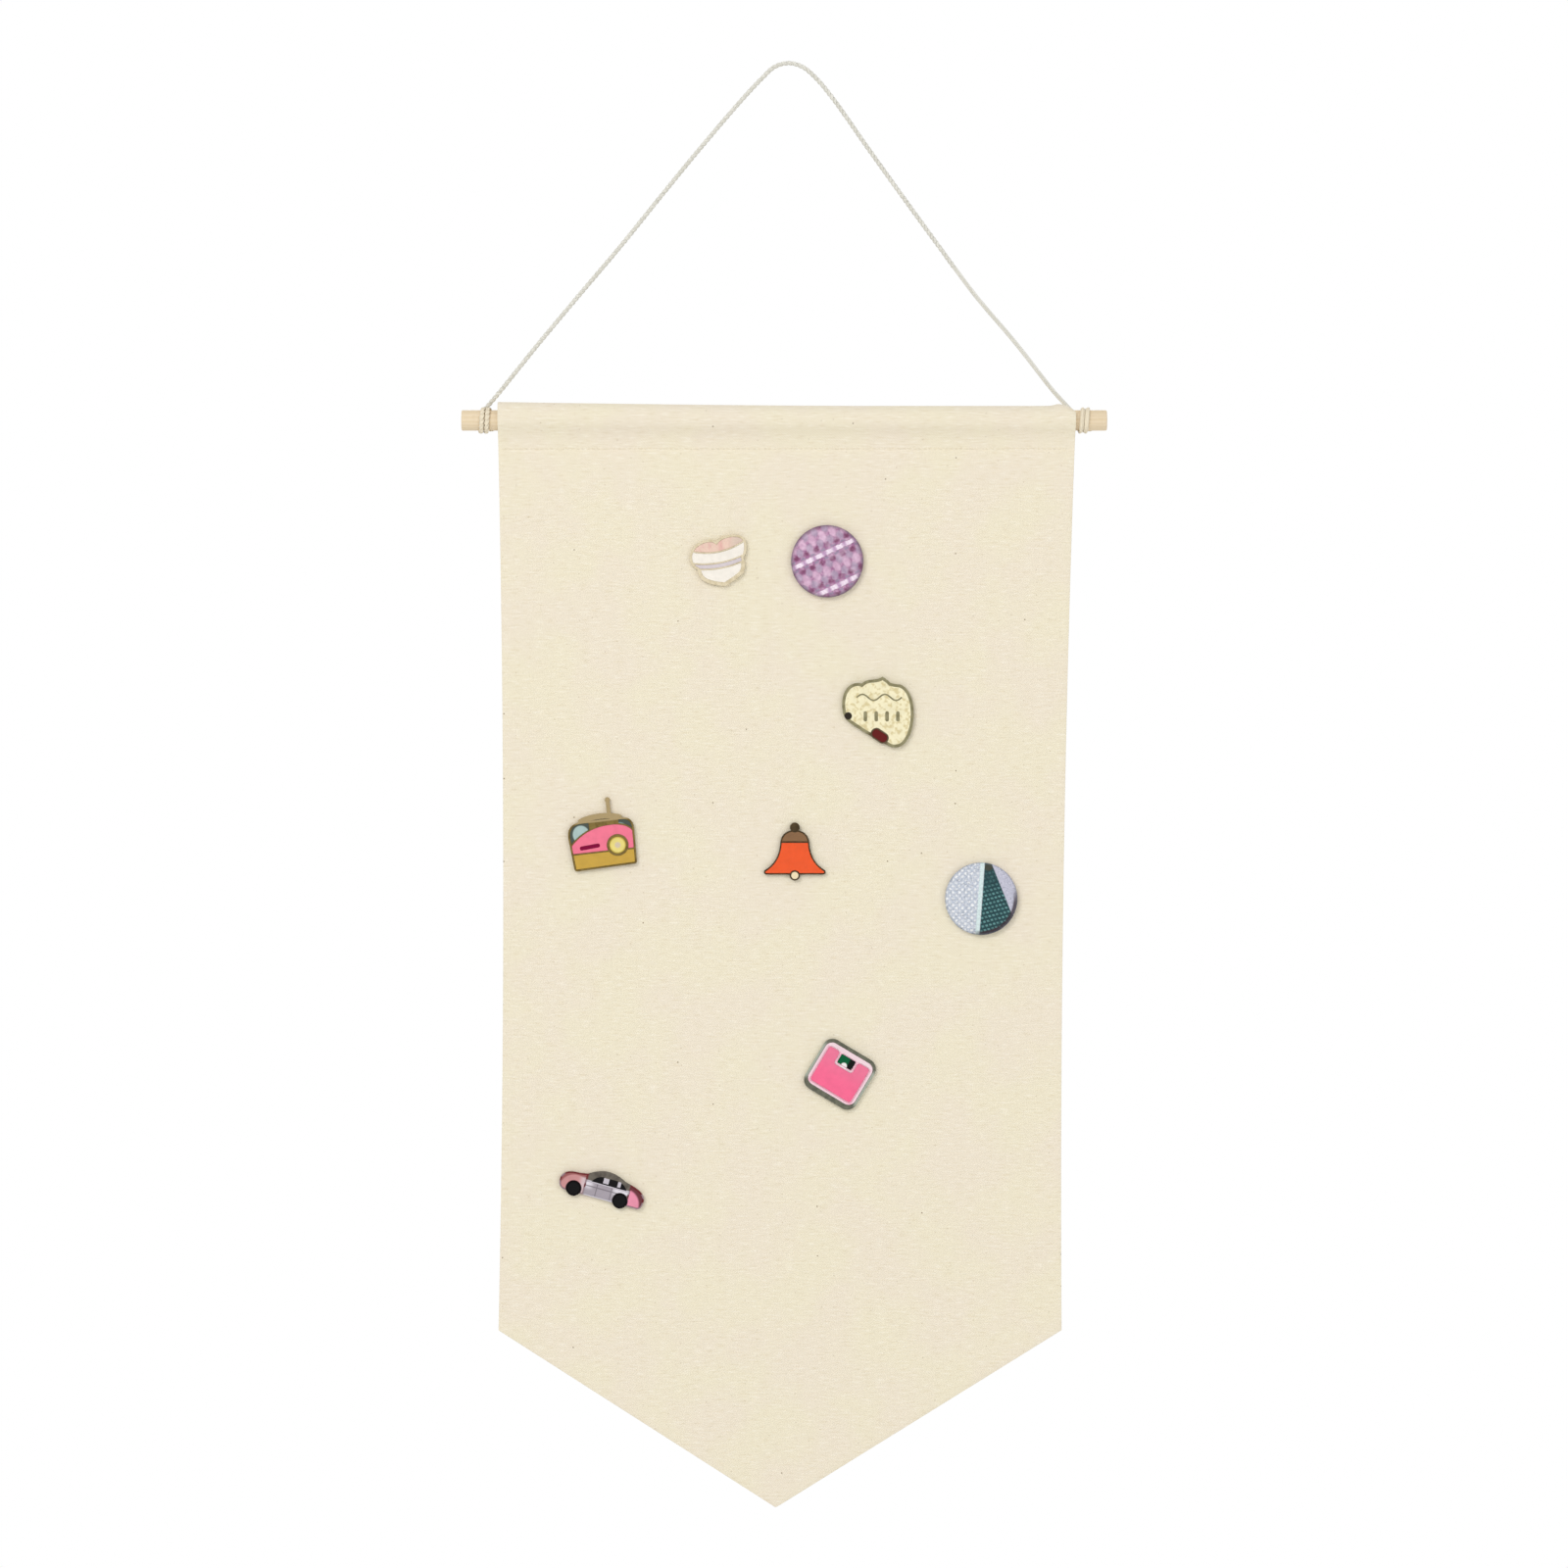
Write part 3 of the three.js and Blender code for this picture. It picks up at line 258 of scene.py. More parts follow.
def softbox(name, place, size, power):
    """A square lamp that looks at the middle of the board."""
    lamp = bpy.data.lights.new(name, "AREA")
    lamp.size = size
    lamp.energy = power
    box = bpy.data.objects.new(name, lamp)
    box.location = place
    box.rotation_euler = (PHOTO_MIDDLE - Vector(place)).to_track_quat("-Z", "Y").to_euler()
    scene.collection.objects.link(box)


softbox("key", place=(-1.3, -2.1, 1.1), size=1.4, power=26)
softbox("fill", place=(1.7, -1.9, -0.1), size=1.6, power=8)
softbox("behind", place=(0.9, 2.2, 0.7), size=1.4, power=22)
print("lamps:", [lamp.name for lamp in bpy.data.lights])

# %% [markdown]
# ## The floor
# The board hangs, so the floor lies well under it. A large disc is enough. Its finish mixes matt paint
# with plain white: close by, the paint keeps a soft shadow, and further off it fades into the white of
# the world, so the rim of the disc never shows.

# %% Floor
FLOOR_DROP = 1.02
FLOOR_RADIUS = 9.0
FLOOR_SIDES = 96
WHITE_NEAR = 0.55  # share of plain white under the board
FADE_START, FADE_END = 0.5, 1.6


def distance(level, upright):
    """How far a point is from the middle, from its two parts."""
    return level.maths("SQRT", level * level + upright * upright)


def floor_finish():
    sheet = new_finish("pale_floor")
    at = sheet.split(sheet.place())
    away = distance(at, at.side("Y"))
    look = sheet.add("ShaderNodeLightPath", out="Is Camera Ray")
    look = look.maths("MAXIMUM", look, look.side("Is Glossy Ray"))
    share = look * (WHITE_NEAR + (1 - WHITE_NEAR) * away.fade(FADE_START, FADE_END))
    matt = sheet.add("ShaderNodeBsdfDiffuse", {}, {"Color": paint(243, 243, 242)})
    glow = sheet.add("ShaderNodeEmission", {}, {"Color": WHITE, "Strength": 1.0})
    both = sheet.add("ShaderNodeMixShader", {}, {0: share, 1: matt, 2: glow})
    sheet.add("ShaderNodeOutputMaterial", {}, {"Surface": both})
    return sheet.owner


def new_object(name, mesh):
    """A finished bmesh as an object of the scene."""
    data = bpy.data.meshes.new(name)
    mesh.to_mesh(data)
    mesh.free()
    made = bpy.data.objects.new(name, data)
    scene.collection.objects.link(made)
    return made


disc = bmesh.new()
bmesh.ops.create_circle(disc, cap_ends=True, segments=FLOOR_SIDES, radius=FLOOR_RADIUS)
bmesh.ops.translate(disc, verts=disc.verts, vec=(0, 0, -FLOOR_DROP))
floor = new_object("floor", disc)
floor.data.materials.append(floor_finish())
print("floor at", -FLOOR_DROP)

# %% [markdown]
# ## The cord
# One length of twisted cotton cord carries the board. It takes two turns round the left end of the
# dowel, runs up over the nail and down behind the canvas's corner, and takes two turns round the right
# end. A round tube would do from far off, but a twisted cord has grooves that catch the light, so here
# a curve carries a three-lobed section that turns as it goes. Its route comes first: the free span point
# by point, as the solids have it, and each winding as a helix.

# %% Route of the cord
BOARD_X, BOARD_Z = -2.6, -164.5  # the middle of the dowel, from the top of the cord
DOWEL_RADIUS = (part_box("dowel")[1].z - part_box("dowel")[0].z) / 2 / MM
CORD_RADIUS = 1.1
WOUND_THICKNESS = 1.3
WOUND_WIDTH = 2.3
WINDING_GAP = 0.1
WINDING_RADIUS = DOWEL_RADIUS + WINDING_GAP + WOUND_THICKNESS / 2
WINDING_PITCH = WOUND_WIDTH + WINDING_GAP
WINDING_TURNS = 2
WINDING_START = math.radians(30)
POINTS_A_TURN = 24
LEFT_WINDING_X = BOARD_X - 140.55
RIGHT_WINDING_X = BOARD_X + 137.2
CORD_SPAN = [
    (-143.3, 8.5, -161.6), (-142.0, 8.4, -159.6), (-139.6, 7.7, -157.0), (-134.7, 6.8, -151.3),
    (-116.3, 5.6, -128.6), (-97.2, 4.5, -105.9), (-77.9, 3.5, -83.2), (-59.5, 2.5, -60.5),
    (-40.7, 1.5, -37.7), (-21.1, 0.6, -15.0), (-12.5, 0.3, -5.9), (-6.6, 0.1, -0.6),
    (0.0, 0.0, 1.1), (6.4, 0.1, -0.7), (12.7, 0.3, -6.0), (20.2, 0.6, -15.0),
    (36.3, 1.5, -37.7), (52.7, 2.5, -60.5), (69.3, 3.5, -83.2), (86.1, 4.5, -105.9),
    (105.4, 5.7, -128.6), (122.6, 6.9, -150.4), (127.6, 7.7, -155.9), (131.0, 8.5, -159.4),
    (133.3, 8.7, -161.8),
]


def winding_line(start_x):
    """One winding, from its straight lead behind the dowel, through its turns, to its straight tail."""
    def on_helix(turns):
        angle = WINDING_START + 2 * math.pi * turns
        x = start_x + WINDING_PITCH * turns
        return Vector((x, WINDING_RADIUS * math.cos(angle), BOARD_Z - WINDING_RADIUS * math.sin(angle)))
    steps = POINTS_A_TURN * WINDING_TURNS
    line = [on_helix(WINDING_TURNS * i / steps) for i in range(steps + 1)]
    before = (line[0] - line[1]).normalized() * 2 * CORD_RADIUS
    after = (line[-1] - line[-2]).normalized() * 2 * CORD_RADIUS
    return [line[0] + 2 * before, line[0] + before] + line + [line[-1] + after]


cord_points = winding_line(LEFT_WINDING_X)[::-1] + [Vector(at) for at in CORD_SPAN]
cord_points += winding_line(RIGHT_WINDING_X)
print("cord points:", len(cord_points))

# %% [markdown]
# ## An even line
# The points are far apart on the straight stretches and close together on the turns. A curve of
# Blender's own would set its rings just as unevenly, and the twist would run fast and slow. So the line
# is worked out here: a centripetal curve, which doesn't swing out at a sharp turn, cut into equal steps.


# %% A smooth line through the points, with even steps
def lerp(first, last, share):
    return first + (last - first) * share


def smooth(low, high, value):
    """0 at low and 1 at high, with a soft start and a soft end."""
    share = min(max((value - low) / (high - low), 0.0), 1.0)
    return share * share * (3 - 2 * share)


def smooth_line(points, step):
    """A centripetal curve through the points, resampled at even steps."""
    ends = [2 * points[0] - points[1]] + points + [2 * points[-1] - points[-2]]
    fine = []
    for a, b, c, d in zip(ends, ends[1:], ends[2:], ends[3:]):
        first, middle, last = (math.sqrt((q - p).length) for p, q in ((a, b), (b, c), (c, d)))
        leave = ((b - a) / first - (c - a) / (first + middle) + (c - b) / middle) * middle
        arrive = ((c - b) / middle - (d - b) / (middle + last) + (d - c) / last) * middle
        count = max(2, round((c - b).length / step) * 2)
        for t in (i / count for i in range(count)):
            start = (2 * t ** 3 - 3 * t ** 2 + 1) * b + (t ** 3 - 2 * t ** 2 + t) * leave
            fine.append(start + (3 * t ** 2 - 2 * t ** 3) * c + (t ** 3 - t ** 2) * arrive)
    fine.append(points[-1])
    even, travelled = [fine[0]], 0.0
    for a, b in zip(fine, fine[1:]):
        length = (b - a).length
        while travelled + length >= step:
            a = a.lerp(b, (step - travelled) / length)
            length = (b - a).length
            travelled = 0.0
            even.append(a)
        travelled += length
    return even


CORD_STEP = 0.45
cord_line = smooth_line(cord_points, CORD_STEP)
cord_length = CORD_STEP * (len(cord_line) - 1)
print("cord length:", round(cord_length), "mm")

# %% [markdown]
# ## Three strands
# Seen from its end, the cord is three arcs with a groove between each two. That outline is bent along the
# line as the bevel of a curve. Each point of the line has a tilt, and a tilt that grows twists the cord.

# %% Twisted section along that line
STRANDS = 3
TWIST_LENGTH = 7.0  # along the cord, for one whole turn of the strands
GROOVE = 0.66  # bottom of the groove between strands, as a share of the cord's radius


def strand_section():
    """Outline of three strands pressed together: each lobe is an arc, and a groove parts it from the next."""
    strand = CORD_RADIUS / (1 + 1 / math.sin(math.pi / STRANDS))
    off = CORD_RADIUS - strand
    points = []
    for lobe in range(STRANDS):
        middle = 2 * math.pi * lobe / STRANDS
        for degrees in range(-45, 46, 15):
            turn = math.radians(degrees)
            reach = off * math.cos(turn) + math.sqrt(strand ** 2 - (off * math.sin(turn)) ** 2)
            points.append((max(reach, GROOVE * CORD_RADIUS), middle + turn))
        points.append((GROOVE * CORD_RADIUS, middle + math.pi / STRANDS))
    return [Vector((reach * math.cos(turn), reach * math.sin(turn), 0)) * MM for reach, turn in points]


def poly_curve(name, points, closed):
    curve = bpy.data.curves.new(name, "CURVE")
    curve.dimensions = "3D"
    spline = curve.splines.new("POLY")
    spline.points.add(len(points) - 1)
    for knot, at in zip(spline.points, points):
        knot.co = (*at, 1.0)
    spline.use_cyclic_u = closed
    made = bpy.data.objects.new(name, curve)
    scene.collection.objects.link(made)
    return made


section = poly_curve("strand_section", strand_section(), True)
core = poly_curve("cord_core", [at * MM for at in cord_line], False)
for i, knot in enumerate(core.data.splines[0].points):
    knot.tilt = 2 * math.pi * i * CORD_STEP / TWIST_LENGTH
core.data.bevel_mode = "OBJECT"
core.data.bevel_object = section
core.data.use_fill_caps = True
print("section points:", len(section.data.splines[0].points))

# %% [markdown]
# ## From curve to mesh
# Only a mesh can be pressed, so the curve becomes one. Where the cord is wound, it is pulled tight and
# lies flat: there each ring of points is pressed towards the dowel and spread along it. The map holds the
# way along the cord and the turn round it, so the fibres of the finish can follow the strands.

# %% The curve becomes a mesh
cord_mesh = bpy.data.meshes.new_from_object(core.evaluated_get(bpy.context.evaluated_depsgraph_get()))
cord = bpy.data.objects.new("hanging_cord", cord_mesh)
scene.collection.objects.link(cord)
for helper in (core, section):
    bpy.data.objects.remove(helper)
ring = len(strand_section())
steps = [len(cord_line) - 1, 0, *range(len(cord_line))]  # the two caps come first, then ring after ring
print("cord vertices:", len(cord_mesh.vertices), "in rings of", ring)

# %% The wound part is pressed flat
EASE = 5.0  # along the cord, from flat to round
wound_length = WINDING_TURNS * math.hypot(2 * math.pi * WINDING_RADIUS, WINDING_PITCH) + 2 * CORD_RADIUS
thinner = 1 - WOUND_THICKNESS / (2 * CORD_RADIUS)
wider = WOUND_WIDTH / (2 * CORD_RADIUS) - 1
for vert in cord_mesh.vertices:
    step = steps[vert.index // ring]
    centre = cord_line[step] * MM
    from_end = min(step, len(cord_line) - 1 - step) * CORD_STEP
    outward = Vector((0, centre.y, centre.z - BOARD_Z * MM)).normalized()
    pressed = smooth(wound_length + EASE, wound_length, from_end)
    vert.co -= outward * outward.dot(vert.co - centre) * thinner * pressed
    vert.co.x += (vert.co.x - centre.x) * wider * pressed
print("wound at each end:", round(wound_length), "mm")

# %% A map along the strands
for layer in list(cord_mesh.uv_layers):
    cord_mesh.uv_layers.remove(layer)
along_cord = cord_mesh.uv_layers.new(name="along_cord")
for face in cord_mesh.polygons:
    face.use_smooth = True
    turns = [cord_mesh.loops[i].vertex_index % ring for i in face.loop_indices]
    wraps = max(turns) - min(turns) > ring // 2
    for i, turn in zip(face.loop_indices, turns):
        around = turn + ring if wraps and turn < ring // 2 else turn
        travelled = steps[cord_mesh.loops[i].vertex_index // ring] * CORD_STEP * MM
        along_cord.data[i].uv = (travelled, around / ring)
WELD = 1e-6  # points that are closer than this, in metres, become one
joined = bmesh.new()
joined.from_mesh(cord_mesh)
bmesh.ops.remove_doubles(joined, verts=joined.verts, dist=WELD)
bmesh.ops.recalc_face_normals(joined, faces=joined.faces)
joined.to_mesh(cord_mesh)
joined.free()
print("cord faces:", len(cord_mesh.polygons), "vertices:", len(cord_mesh.vertices))

# %% [markdown]
# ## Cotton
# Cotton cord is off-white, with painted shade in its grooves and fuzz that catches the light. Noise stretched
# on the map gives fibres and lumps, and the turn round the cord tells where the grooves are. The turns on
# the dowel look warmer than the span, so there the tone goes towards the wood's.


# %% Cotton of the cord
def cord_finish():
    sheet = new_finish("twisted_cotton")
    at = sheet.add("ShaderNodeUVMap", {"uv_map": "along_cord"})
    part = sheet.split(at)
    fibres = sheet.stretched(at, (420, 26, 1), 3)
    lumps = sheet.stretched(at, (95, 3, 1), 2)
    groove = abs((part.side("Y") * STRANDS).wave(1.0))
    tone = sheet.mix(lumps.fade(0.3, 0.7), paint(229, 227, 216), paint(241, 239, 230))
    # Painted shade: the cotton is darker in the grooves between the strands.
    tone = sheet.mix(groove.fade(0.55, 1.0) * 0.4, tone, paint(200, 195, 178))
    tone = sheet.mix(fibres.fade(0.55, 0.75) * 0.35, tone, paint(252, 251, 246))
    from_end = part.maths("MINIMUM", part, cord_length * MM - part)
    wound = from_end.fade((wound_length + EASE) * MM, wound_length * MM)
    tone = sheet.mix(wound * 0.85, tone, paint(245, 231, 202))
    return sheet.close({
        "Base Color": tone, "Roughness": 0.95, "Sheen Weight": 0.3,
        "Normal": sheet.bump(fibres, 0.25 * MM),
    })


cord_mesh.materials.clear()
cord_mesh.materials.append(cord_finish())
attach(cord, "hanger")
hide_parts("cord_span", "left_winding", "right_winding")
cord_line[0] * MM
[at * MM for at in cord_line]

# %% [markdown]
# ## The canvas
# The pennant is two layers of undyed cotton canvas, turned together over the dowel as a sleeve and held
# by one row of stitches. It could be simulated, but a flat hanging cloth hardly moves, so a grid is bent
# along the real section instead: up the front, over the dowel and down the back to its tail. The lowest
# rows follow the point, slow waves run through the free part and die out under the badges, and a
# Solidify modifier gives the cloth its thickness.

# %% Outline of the pennant
CLOTH = 0.7
SEAM_DROP = 13.2
FLAP_TAIL = 8.0
SHOULDER_DROP = 421.5
TIP_DROP = 503.7
TOP_HALF, WAIST_HALF, SHOULDER_HALF = 133.85, 129.8, 130.4
TOP_CENTRE, SHOULDER_CENTRE, TIP_CENTRE = 1.55, -1.5, -3.5


def pennant_side(side, z):
    """Where the pennant's left (-1) or right (1) edge lies at a height, from the dowel's middle."""
    share = min(max(-z / SHOULDER_DROP, 0.0), 1.0)
    bow = 4 * share * (1 - share) * ((TOP_HALF + SHOULDER_HALF) / 2 - WAIST_HALF)
    return lerp(TOP_CENTRE, SHOULDER_CENTRE, share) + side * (lerp(TOP_HALF, SHOULDER_HALF, share) - bow)


def bottom_drop(across):
    """How far down the point's edge is, at a share of the way from the left side to the right."""
    left, right = pennant_side(-1, -SHOULDER_DROP), pennant_side(1, -SHOULDER_DROP)
    tip = (TIP_CENTRE - left) / (right - left)
    away = (tip - across) / tip if across < tip else (across - tip) / (1 - tip)
    return lerp(TIP_DROP, SHOULDER_DROP, away)


print("width at the top:", round(pennant_side(1, 0) - pennant_side(-1, 0), 1), "mm")

# %% [markdown]
# ## Places of the badges
# The cloth has to know its badges, because each holds it flat and each post makes a hole in it. The
# places are those of the solids, across and up from the middle of the dowel. With them go the tilt of
# each badge and the turn of its clutch's wings, in degrees. The long car sits on two posts.

# %% Where the badges sit
Badge = namedtuple("Badge", "x z tilt wings")
BADGES = {
    "sweet": Badge(-30.1, -64.5, 10, 20),
    "tweed": Badge(20.3, -65.4, 0, -35),
    "bubble": Badge(44.4, -135.8, 0, 60),
    "radio": Badge(-83.7, -196.2, 6.5, 5),
    "bell": Badge(5.3, -199.4, 0, -15),
    "knit": Badge(91.6, -221.6, 0, 40),
    "scale": Badge(26.2, -302.9, -31, 75),
    "car": Badge(-84.2, -356.1, -15.5, 25),
}
CAR_POST_OFFSET = 11.5
Post = namedtuple("Post", "badge offset")
POSTS = {name: Post(name, 0.0) for name in BADGES if name != "car"}
POSTS["car_rear"] = Post("car", -CAR_POST_OFFSET)
POSTS["car_front"] = Post("car", CAR_POST_OFFSET)


def post_place(post):
    """Where a post goes through the board, across and up from the dowel's middle."""
    badge = BADGES[post.badge]
    turn = math.radians(badge.tilt)
    return badge.x + post.offset * math.cos(turn), badge.z + post.offset * math.sin(turn)


print("posts:", list(POSTS))

# %% [markdown]
# ## How the cloth lies
# Over the dowel the cloth follows a round, and an eased curve takes it down to the seam. Hung cloth is
# never quite flat: slow waves run through it, stitches pull small folds into it, and the sleeve sits a
# little slack on the left. A cloth simulation would find waves of its own. Sums of sines and soft steps
# can be set against the photograph, and they come out the same every time.

# %% The section of a layer
LEAVES_DOWEL = math.radians(50)  # from straight below the dowel, where the cloth leaves it
SEAM_PULL, DOWEL_PULL = 2.6, 4.2  # how long the eased curve keeps its way at its two ends
ROUND_STEPS, EASED_STEPS, TAIL_STEPS = 30, 8, 6
FRONT_SLEEVE, LINING_SLEEVE = 6.4, 5.4
FRONT_Y, LINING_Y = -1.5, -0.5


def straight(first, last, count):
    """Points on a straight line, without its last one."""
    return [tuple(lerp(a, b, i / count) for a, b in zip(first, last)) for i in range(count)]


def sleeve_section(radius, front_y):
    """A layer's way, as (y, z), from the seam in front, over the dowel, to its tail behind."""
    turns = [lerp(LEAVES_DOWEL, 2 * math.pi - LEAVES_DOWEL, i / ROUND_STEPS) for i in range(ROUND_STEPS + 1)]
    over = [(-radius * math.sin(turn), -radius * math.cos(turn)) for turn in turns]
    seam, leaving = Vector((front_y, -SEAM_DROP)), Vector(over[0])
    heading = Vector((math.cos(LEAVES_DOWEL), -math.sin(LEAVES_DOWEL)))
    handles = seam + Vector((0, SEAM_PULL)), leaving + DOWEL_PULL * heading
    rise = interpolate_bezier(seam, *handles, leaving, EASED_STEPS + 1)
    front = [(at[0], at[1]) for at in rise[:-1]]
    behind = [(-y, z) for y, z in front[::-1]]
    tail = (-front_y, -SEAM_DROP - FLAP_TAIL)
    return front + over + behind + straight(behind[-1], tail, TAIL_STEPS)[1:] + [tail]


print("sleeve section:", len(sleeve_section(FRONT_SLEEVE, FRONT_Y)), "points")

# %% How the hanging cloth strays from it
STITCH_PITCH = 2.4
HELD_FLAT, FREE_AGAIN = 24, 70  # from the middle of a badge
SEAM_HOLD, SEAM_FREE = 25, 110  # down from the dowel
WAVE_DEPTH, EDGE_WAVE_DEPTH = 0.45, 0.8
WAVE_ACROSS, WAVE_DOWN = 47, 83
EDGE_WAVE_ACROSS, EDGE_WAVE_DOWN = 90, 58
LOW_FROM, LOW_TO = 150, 480  # the lower part of the cloth hangs freest
SIDE_FROM, SIDE_TO = 50, 135  # and so do its sides
FOLD_DEPTH, FOLD_REACH = 0.16, 2.6
FOLDED_X, FOLDED_WIDTH = 85, 45  # the stitches pull hardest here
LEFT_SLACK, RIGHT_SLACK = 1.8, 0.9
CORNER_RETREAT = 4.2  # the right end of the sleeve is drawn in at the top
SEAM_PINCH, SLEEVE_LEAN = 0.14, 0.25


def sway(x, z):
    """Slow waves of the hanging cloth. A badge holds the cloth round it flat."""
    nearest = min(math.hypot(x - badge.x, z - badge.z) for badge in BADGES.values())
    free = smooth(HELD_FLAT, FREE_AGAIN, nearest) * smooth(SEAM_HOLD, SEAM_FREE, -z)
    wide = WAVE_DEPTH * math.sin(x / WAVE_ACROSS + 0.6) * math.sin(z / WAVE_DOWN + 1.1)
    low = smooth(LOW_FROM, LOW_TO, -z) * smooth(SIDE_FROM, SIDE_TO, abs(x))
    edge_wave = math.sin(z / EDGE_WAVE_DOWN + x / EDGE_WAVE_ACROSS)
    return free * (wide + EDGE_WAVE_DEPTH * low * edge_wave)


def pucker(x, z):
    """Small upright folds that the stitches pull into the cloth just under the seam."""
    below = -SEAM_DROP - z
    if below <= 0:
        return 0.0
    strong = 0.35 + 0.65 * math.exp(-((x - FOLDED_X) / FOLDED_WIDTH) ** 2)
    fold = 0.5 + 0.5 * math.cos(2 * math.pi * x / STITCH_PITCH)
    return FOLD_DEPTH * strong * fold * math.exp(-below / FOLD_REACH) * smooth(0, 1.0, below)


def settled(x, y, z, across):
    """A point of the smooth section, moved to where the real cloth lies."""
    top = smooth(-SEAM_DROP + 2, 6, z)
    slack = LEFT_SLACK * max(0.0, 1 - (x + 130) / 175) ** 1.6
    slack += RIGHT_SLACK * math.exp(-((x - 130) / 4) ** 2)
    retreat = CORNER_RETREAT * smooth(3, 7, z) * smooth(0.95, 1.0, across)
    pinch = 1 - SEAM_PINCH * math.exp(-((z + SEAM_DROP) / 0.9) ** 2)
    lean = SLEEVE_LEAN * math.sin(x / 23 + 1.7) * top
    y = y * pinch + lean * (1 if y > 0 else 0.6)
    if y < 0:
        y += sway(x, z) - pucker(x, z)
    return Vector((BOARD_X + x - retreat, y, BOARD_Z + z + slack * top)) * MM


print("sway beside the car:", round(sway(-125, -400), 2), "mm")

# %% [markdown]
# ## Two layers
# A grid is made finer at the seam, each of its points goes to its place on the section, and where the
# point lay on the flat cloth is kept as a map. A post needs a hole: the point nearest to it goes, and the
# ring round that point is drawn in to the post. Solidify gives the thickness, and a fine Bevel takes the
# sharpness off the cut edges.

# %% Rows and holes
FIRST_ROW, WIDEST_ROW, ROW_GROWTH = 0.5, 3.0, 1.09
HOLE_RADIUS = 0.9


def hanging_rows():
    """Shares of the way from the seam down to the point: close together at the seam, then further apart."""
    drops, step = [FIRST_ROW], FIRST_ROW
    while drops[-1] < TIP_DROP - SEAM_DROP:
        drops.append(drops[-1] + step)
        step = min(step * ROW_GROWTH, WIDEST_ROW)
    return [drop / drops[-1] for drop in drops]


def pierce(mesh):
    """Opens a small round hole in the cloth at each post, by pulling in the ring round its nearest point."""
    for x, z in map(post_place, POSTS.values()):
        post = Vector((BOARD_X + x, 0, BOARD_Z + z)) * MM
        front = [vert for vert in mesh.verts if vert.co.y < 0]
        nearest = min(front, key=lambda vert: (vert.co.x - post.x) ** 2 + (vert.co.z - post.z) ** 2)
        ring = {vert for face in nearest.link_faces for vert in face.verts} - {nearest}
        for vert in ring:
            away = Vector((vert.co.x - post.x, 0, vert.co.z - post.z)).normalized() * HOLE_RADIUS * MM
            vert.co = (post.x + away.x, vert.co.y, post.z + away.z)
        bmesh.ops.delete(mesh, geom=[nearest], context="VERTS")


print("rows below the seam:", len(hanging_rows()))

# %% Build a layer
COLUMNS = 122
FINER_ABOVE, FINER_BELOW, FINER_CUTS = 4, 9, 3  # rows at the seam that get more columns, for its folds
EDGE_LEAN = 0.14  # at their cut edges the two layers lean towards each other
CLOTH_EDGE = 0.2
SHARP = math.radians(60)


def thicken(panel):
    """Gives a layer its thickness, and takes the sharpness off its cut edges."""
    wall = panel.modifiers.new("thickness", "SOLIDIFY")
    wall.thickness = CLOTH * MM
    wall.offset = 0.0
    edge = panel.modifiers.new("soft_edge", "BEVEL")
    edge.width = CLOTH_EDGE * MM
    edge.segments = 2
    edge.limit_method = "ANGLE"
    edge.angle_limit = SHARP


def make_panel(name, radius, front_y):
    """One layer of the pennant. Returns it with the length and the area that it was cut to."""
    section = sleeve_section(radius, front_y)
    runs = [0.0]
    for (y, z), (next_y, next_z) in zip(section, section[1:]):
        runs.append(runs[-1] + math.hypot(next_y - y, next_z - z))
    hang = hanging_rows()[::-1]
    rows = len(hang) + len(section)
    mesh = bmesh.new()
    bmesh.ops.create_grid(mesh, x_segments=COLUMNS, y_segments=rows - 1, size=0.5)

    def row_of(vert):
        return round((vert.co.y + 0.5) * (rows - 1))

    near_seam = range(len(hang) - FINER_BELOW, len(hang) + FINER_ABOVE)
    level = [edge for edge in mesh.edges if row_of(edge.verts[0]) == row_of(edge.verts[1])]
    level = [edge for edge in level if row_of(edge.verts[0]) in near_seam]
    bmesh.ops.subdivide_edges(mesh, edges=level, cuts=FINER_CUTS)

    flat = mesh.loops.layers.uv.new("cloth")
    cloth_run = {}
    for vert in mesh.verts:
        row, across = row_of(vert), vert.co.x + 0.5
        if row < len(hang):
            y, z = front_y, -SEAM_DROP - hang[row] * (bottom_drop(across) - SEAM_DROP)
            run = z + SEAM_DROP
            if row == 0 or across in (0.0, 1.0):
                y += EDGE_LEAN if front_y == FRONT_Y else -EDGE_LEAN
        else:
            y, z = section[row - len(hang)]
            run = runs[row - len(hang)]
        x = lerp(pennant_side(-1, z), pennant_side(1, z), across)
        cloth_run[vert] = Vector((x, run)) * MM
        vert.co = settled(x, y, z, across)
    for face in mesh.faces:
        face.smooth = True
        for loop in face.loops:
            loop[flat].uv = cloth_run[loop.vert]
    pierce(mesh)
    bmesh.ops.recalc_face_normals(mesh, faces=mesh.faces)
    length = (TIP_DROP - SEAM_DROP + runs[-1]) * MM
    area = sum(face.calc_area() for face in mesh.faces)
    panel = new_object(name, mesh)
    thicken(panel)
    print(name, len(panel.data.polygons), "faces, cut", round(length / MM), "mm long,", round(area, 4), "m2")
    return panel, length, area


front_canvas, front_length, front_area = make_panel("front_canvas", FRONT_SLEEVE, FRONT_Y)
lining_canvas, lining_length, lining_area = make_panel("lining_canvas", LINING_SLEEVE, LINING_Y)

# %% [markdown]
# ## Undyed cotton
# Seen close, the cloth is a plain weave. Seen from a step away, it is the uneven yarn that shows: short
# level dashes where a thick stretch of yarn runs, paler and darker in tone and partly painted highlight and
# shade, faint upright lines, warm and cool clouds and a few dark specks of seed. All of them read the flat
# map of the cloth, so they follow it over the dowel.


# %% Canvas finish
YARN = 0.62


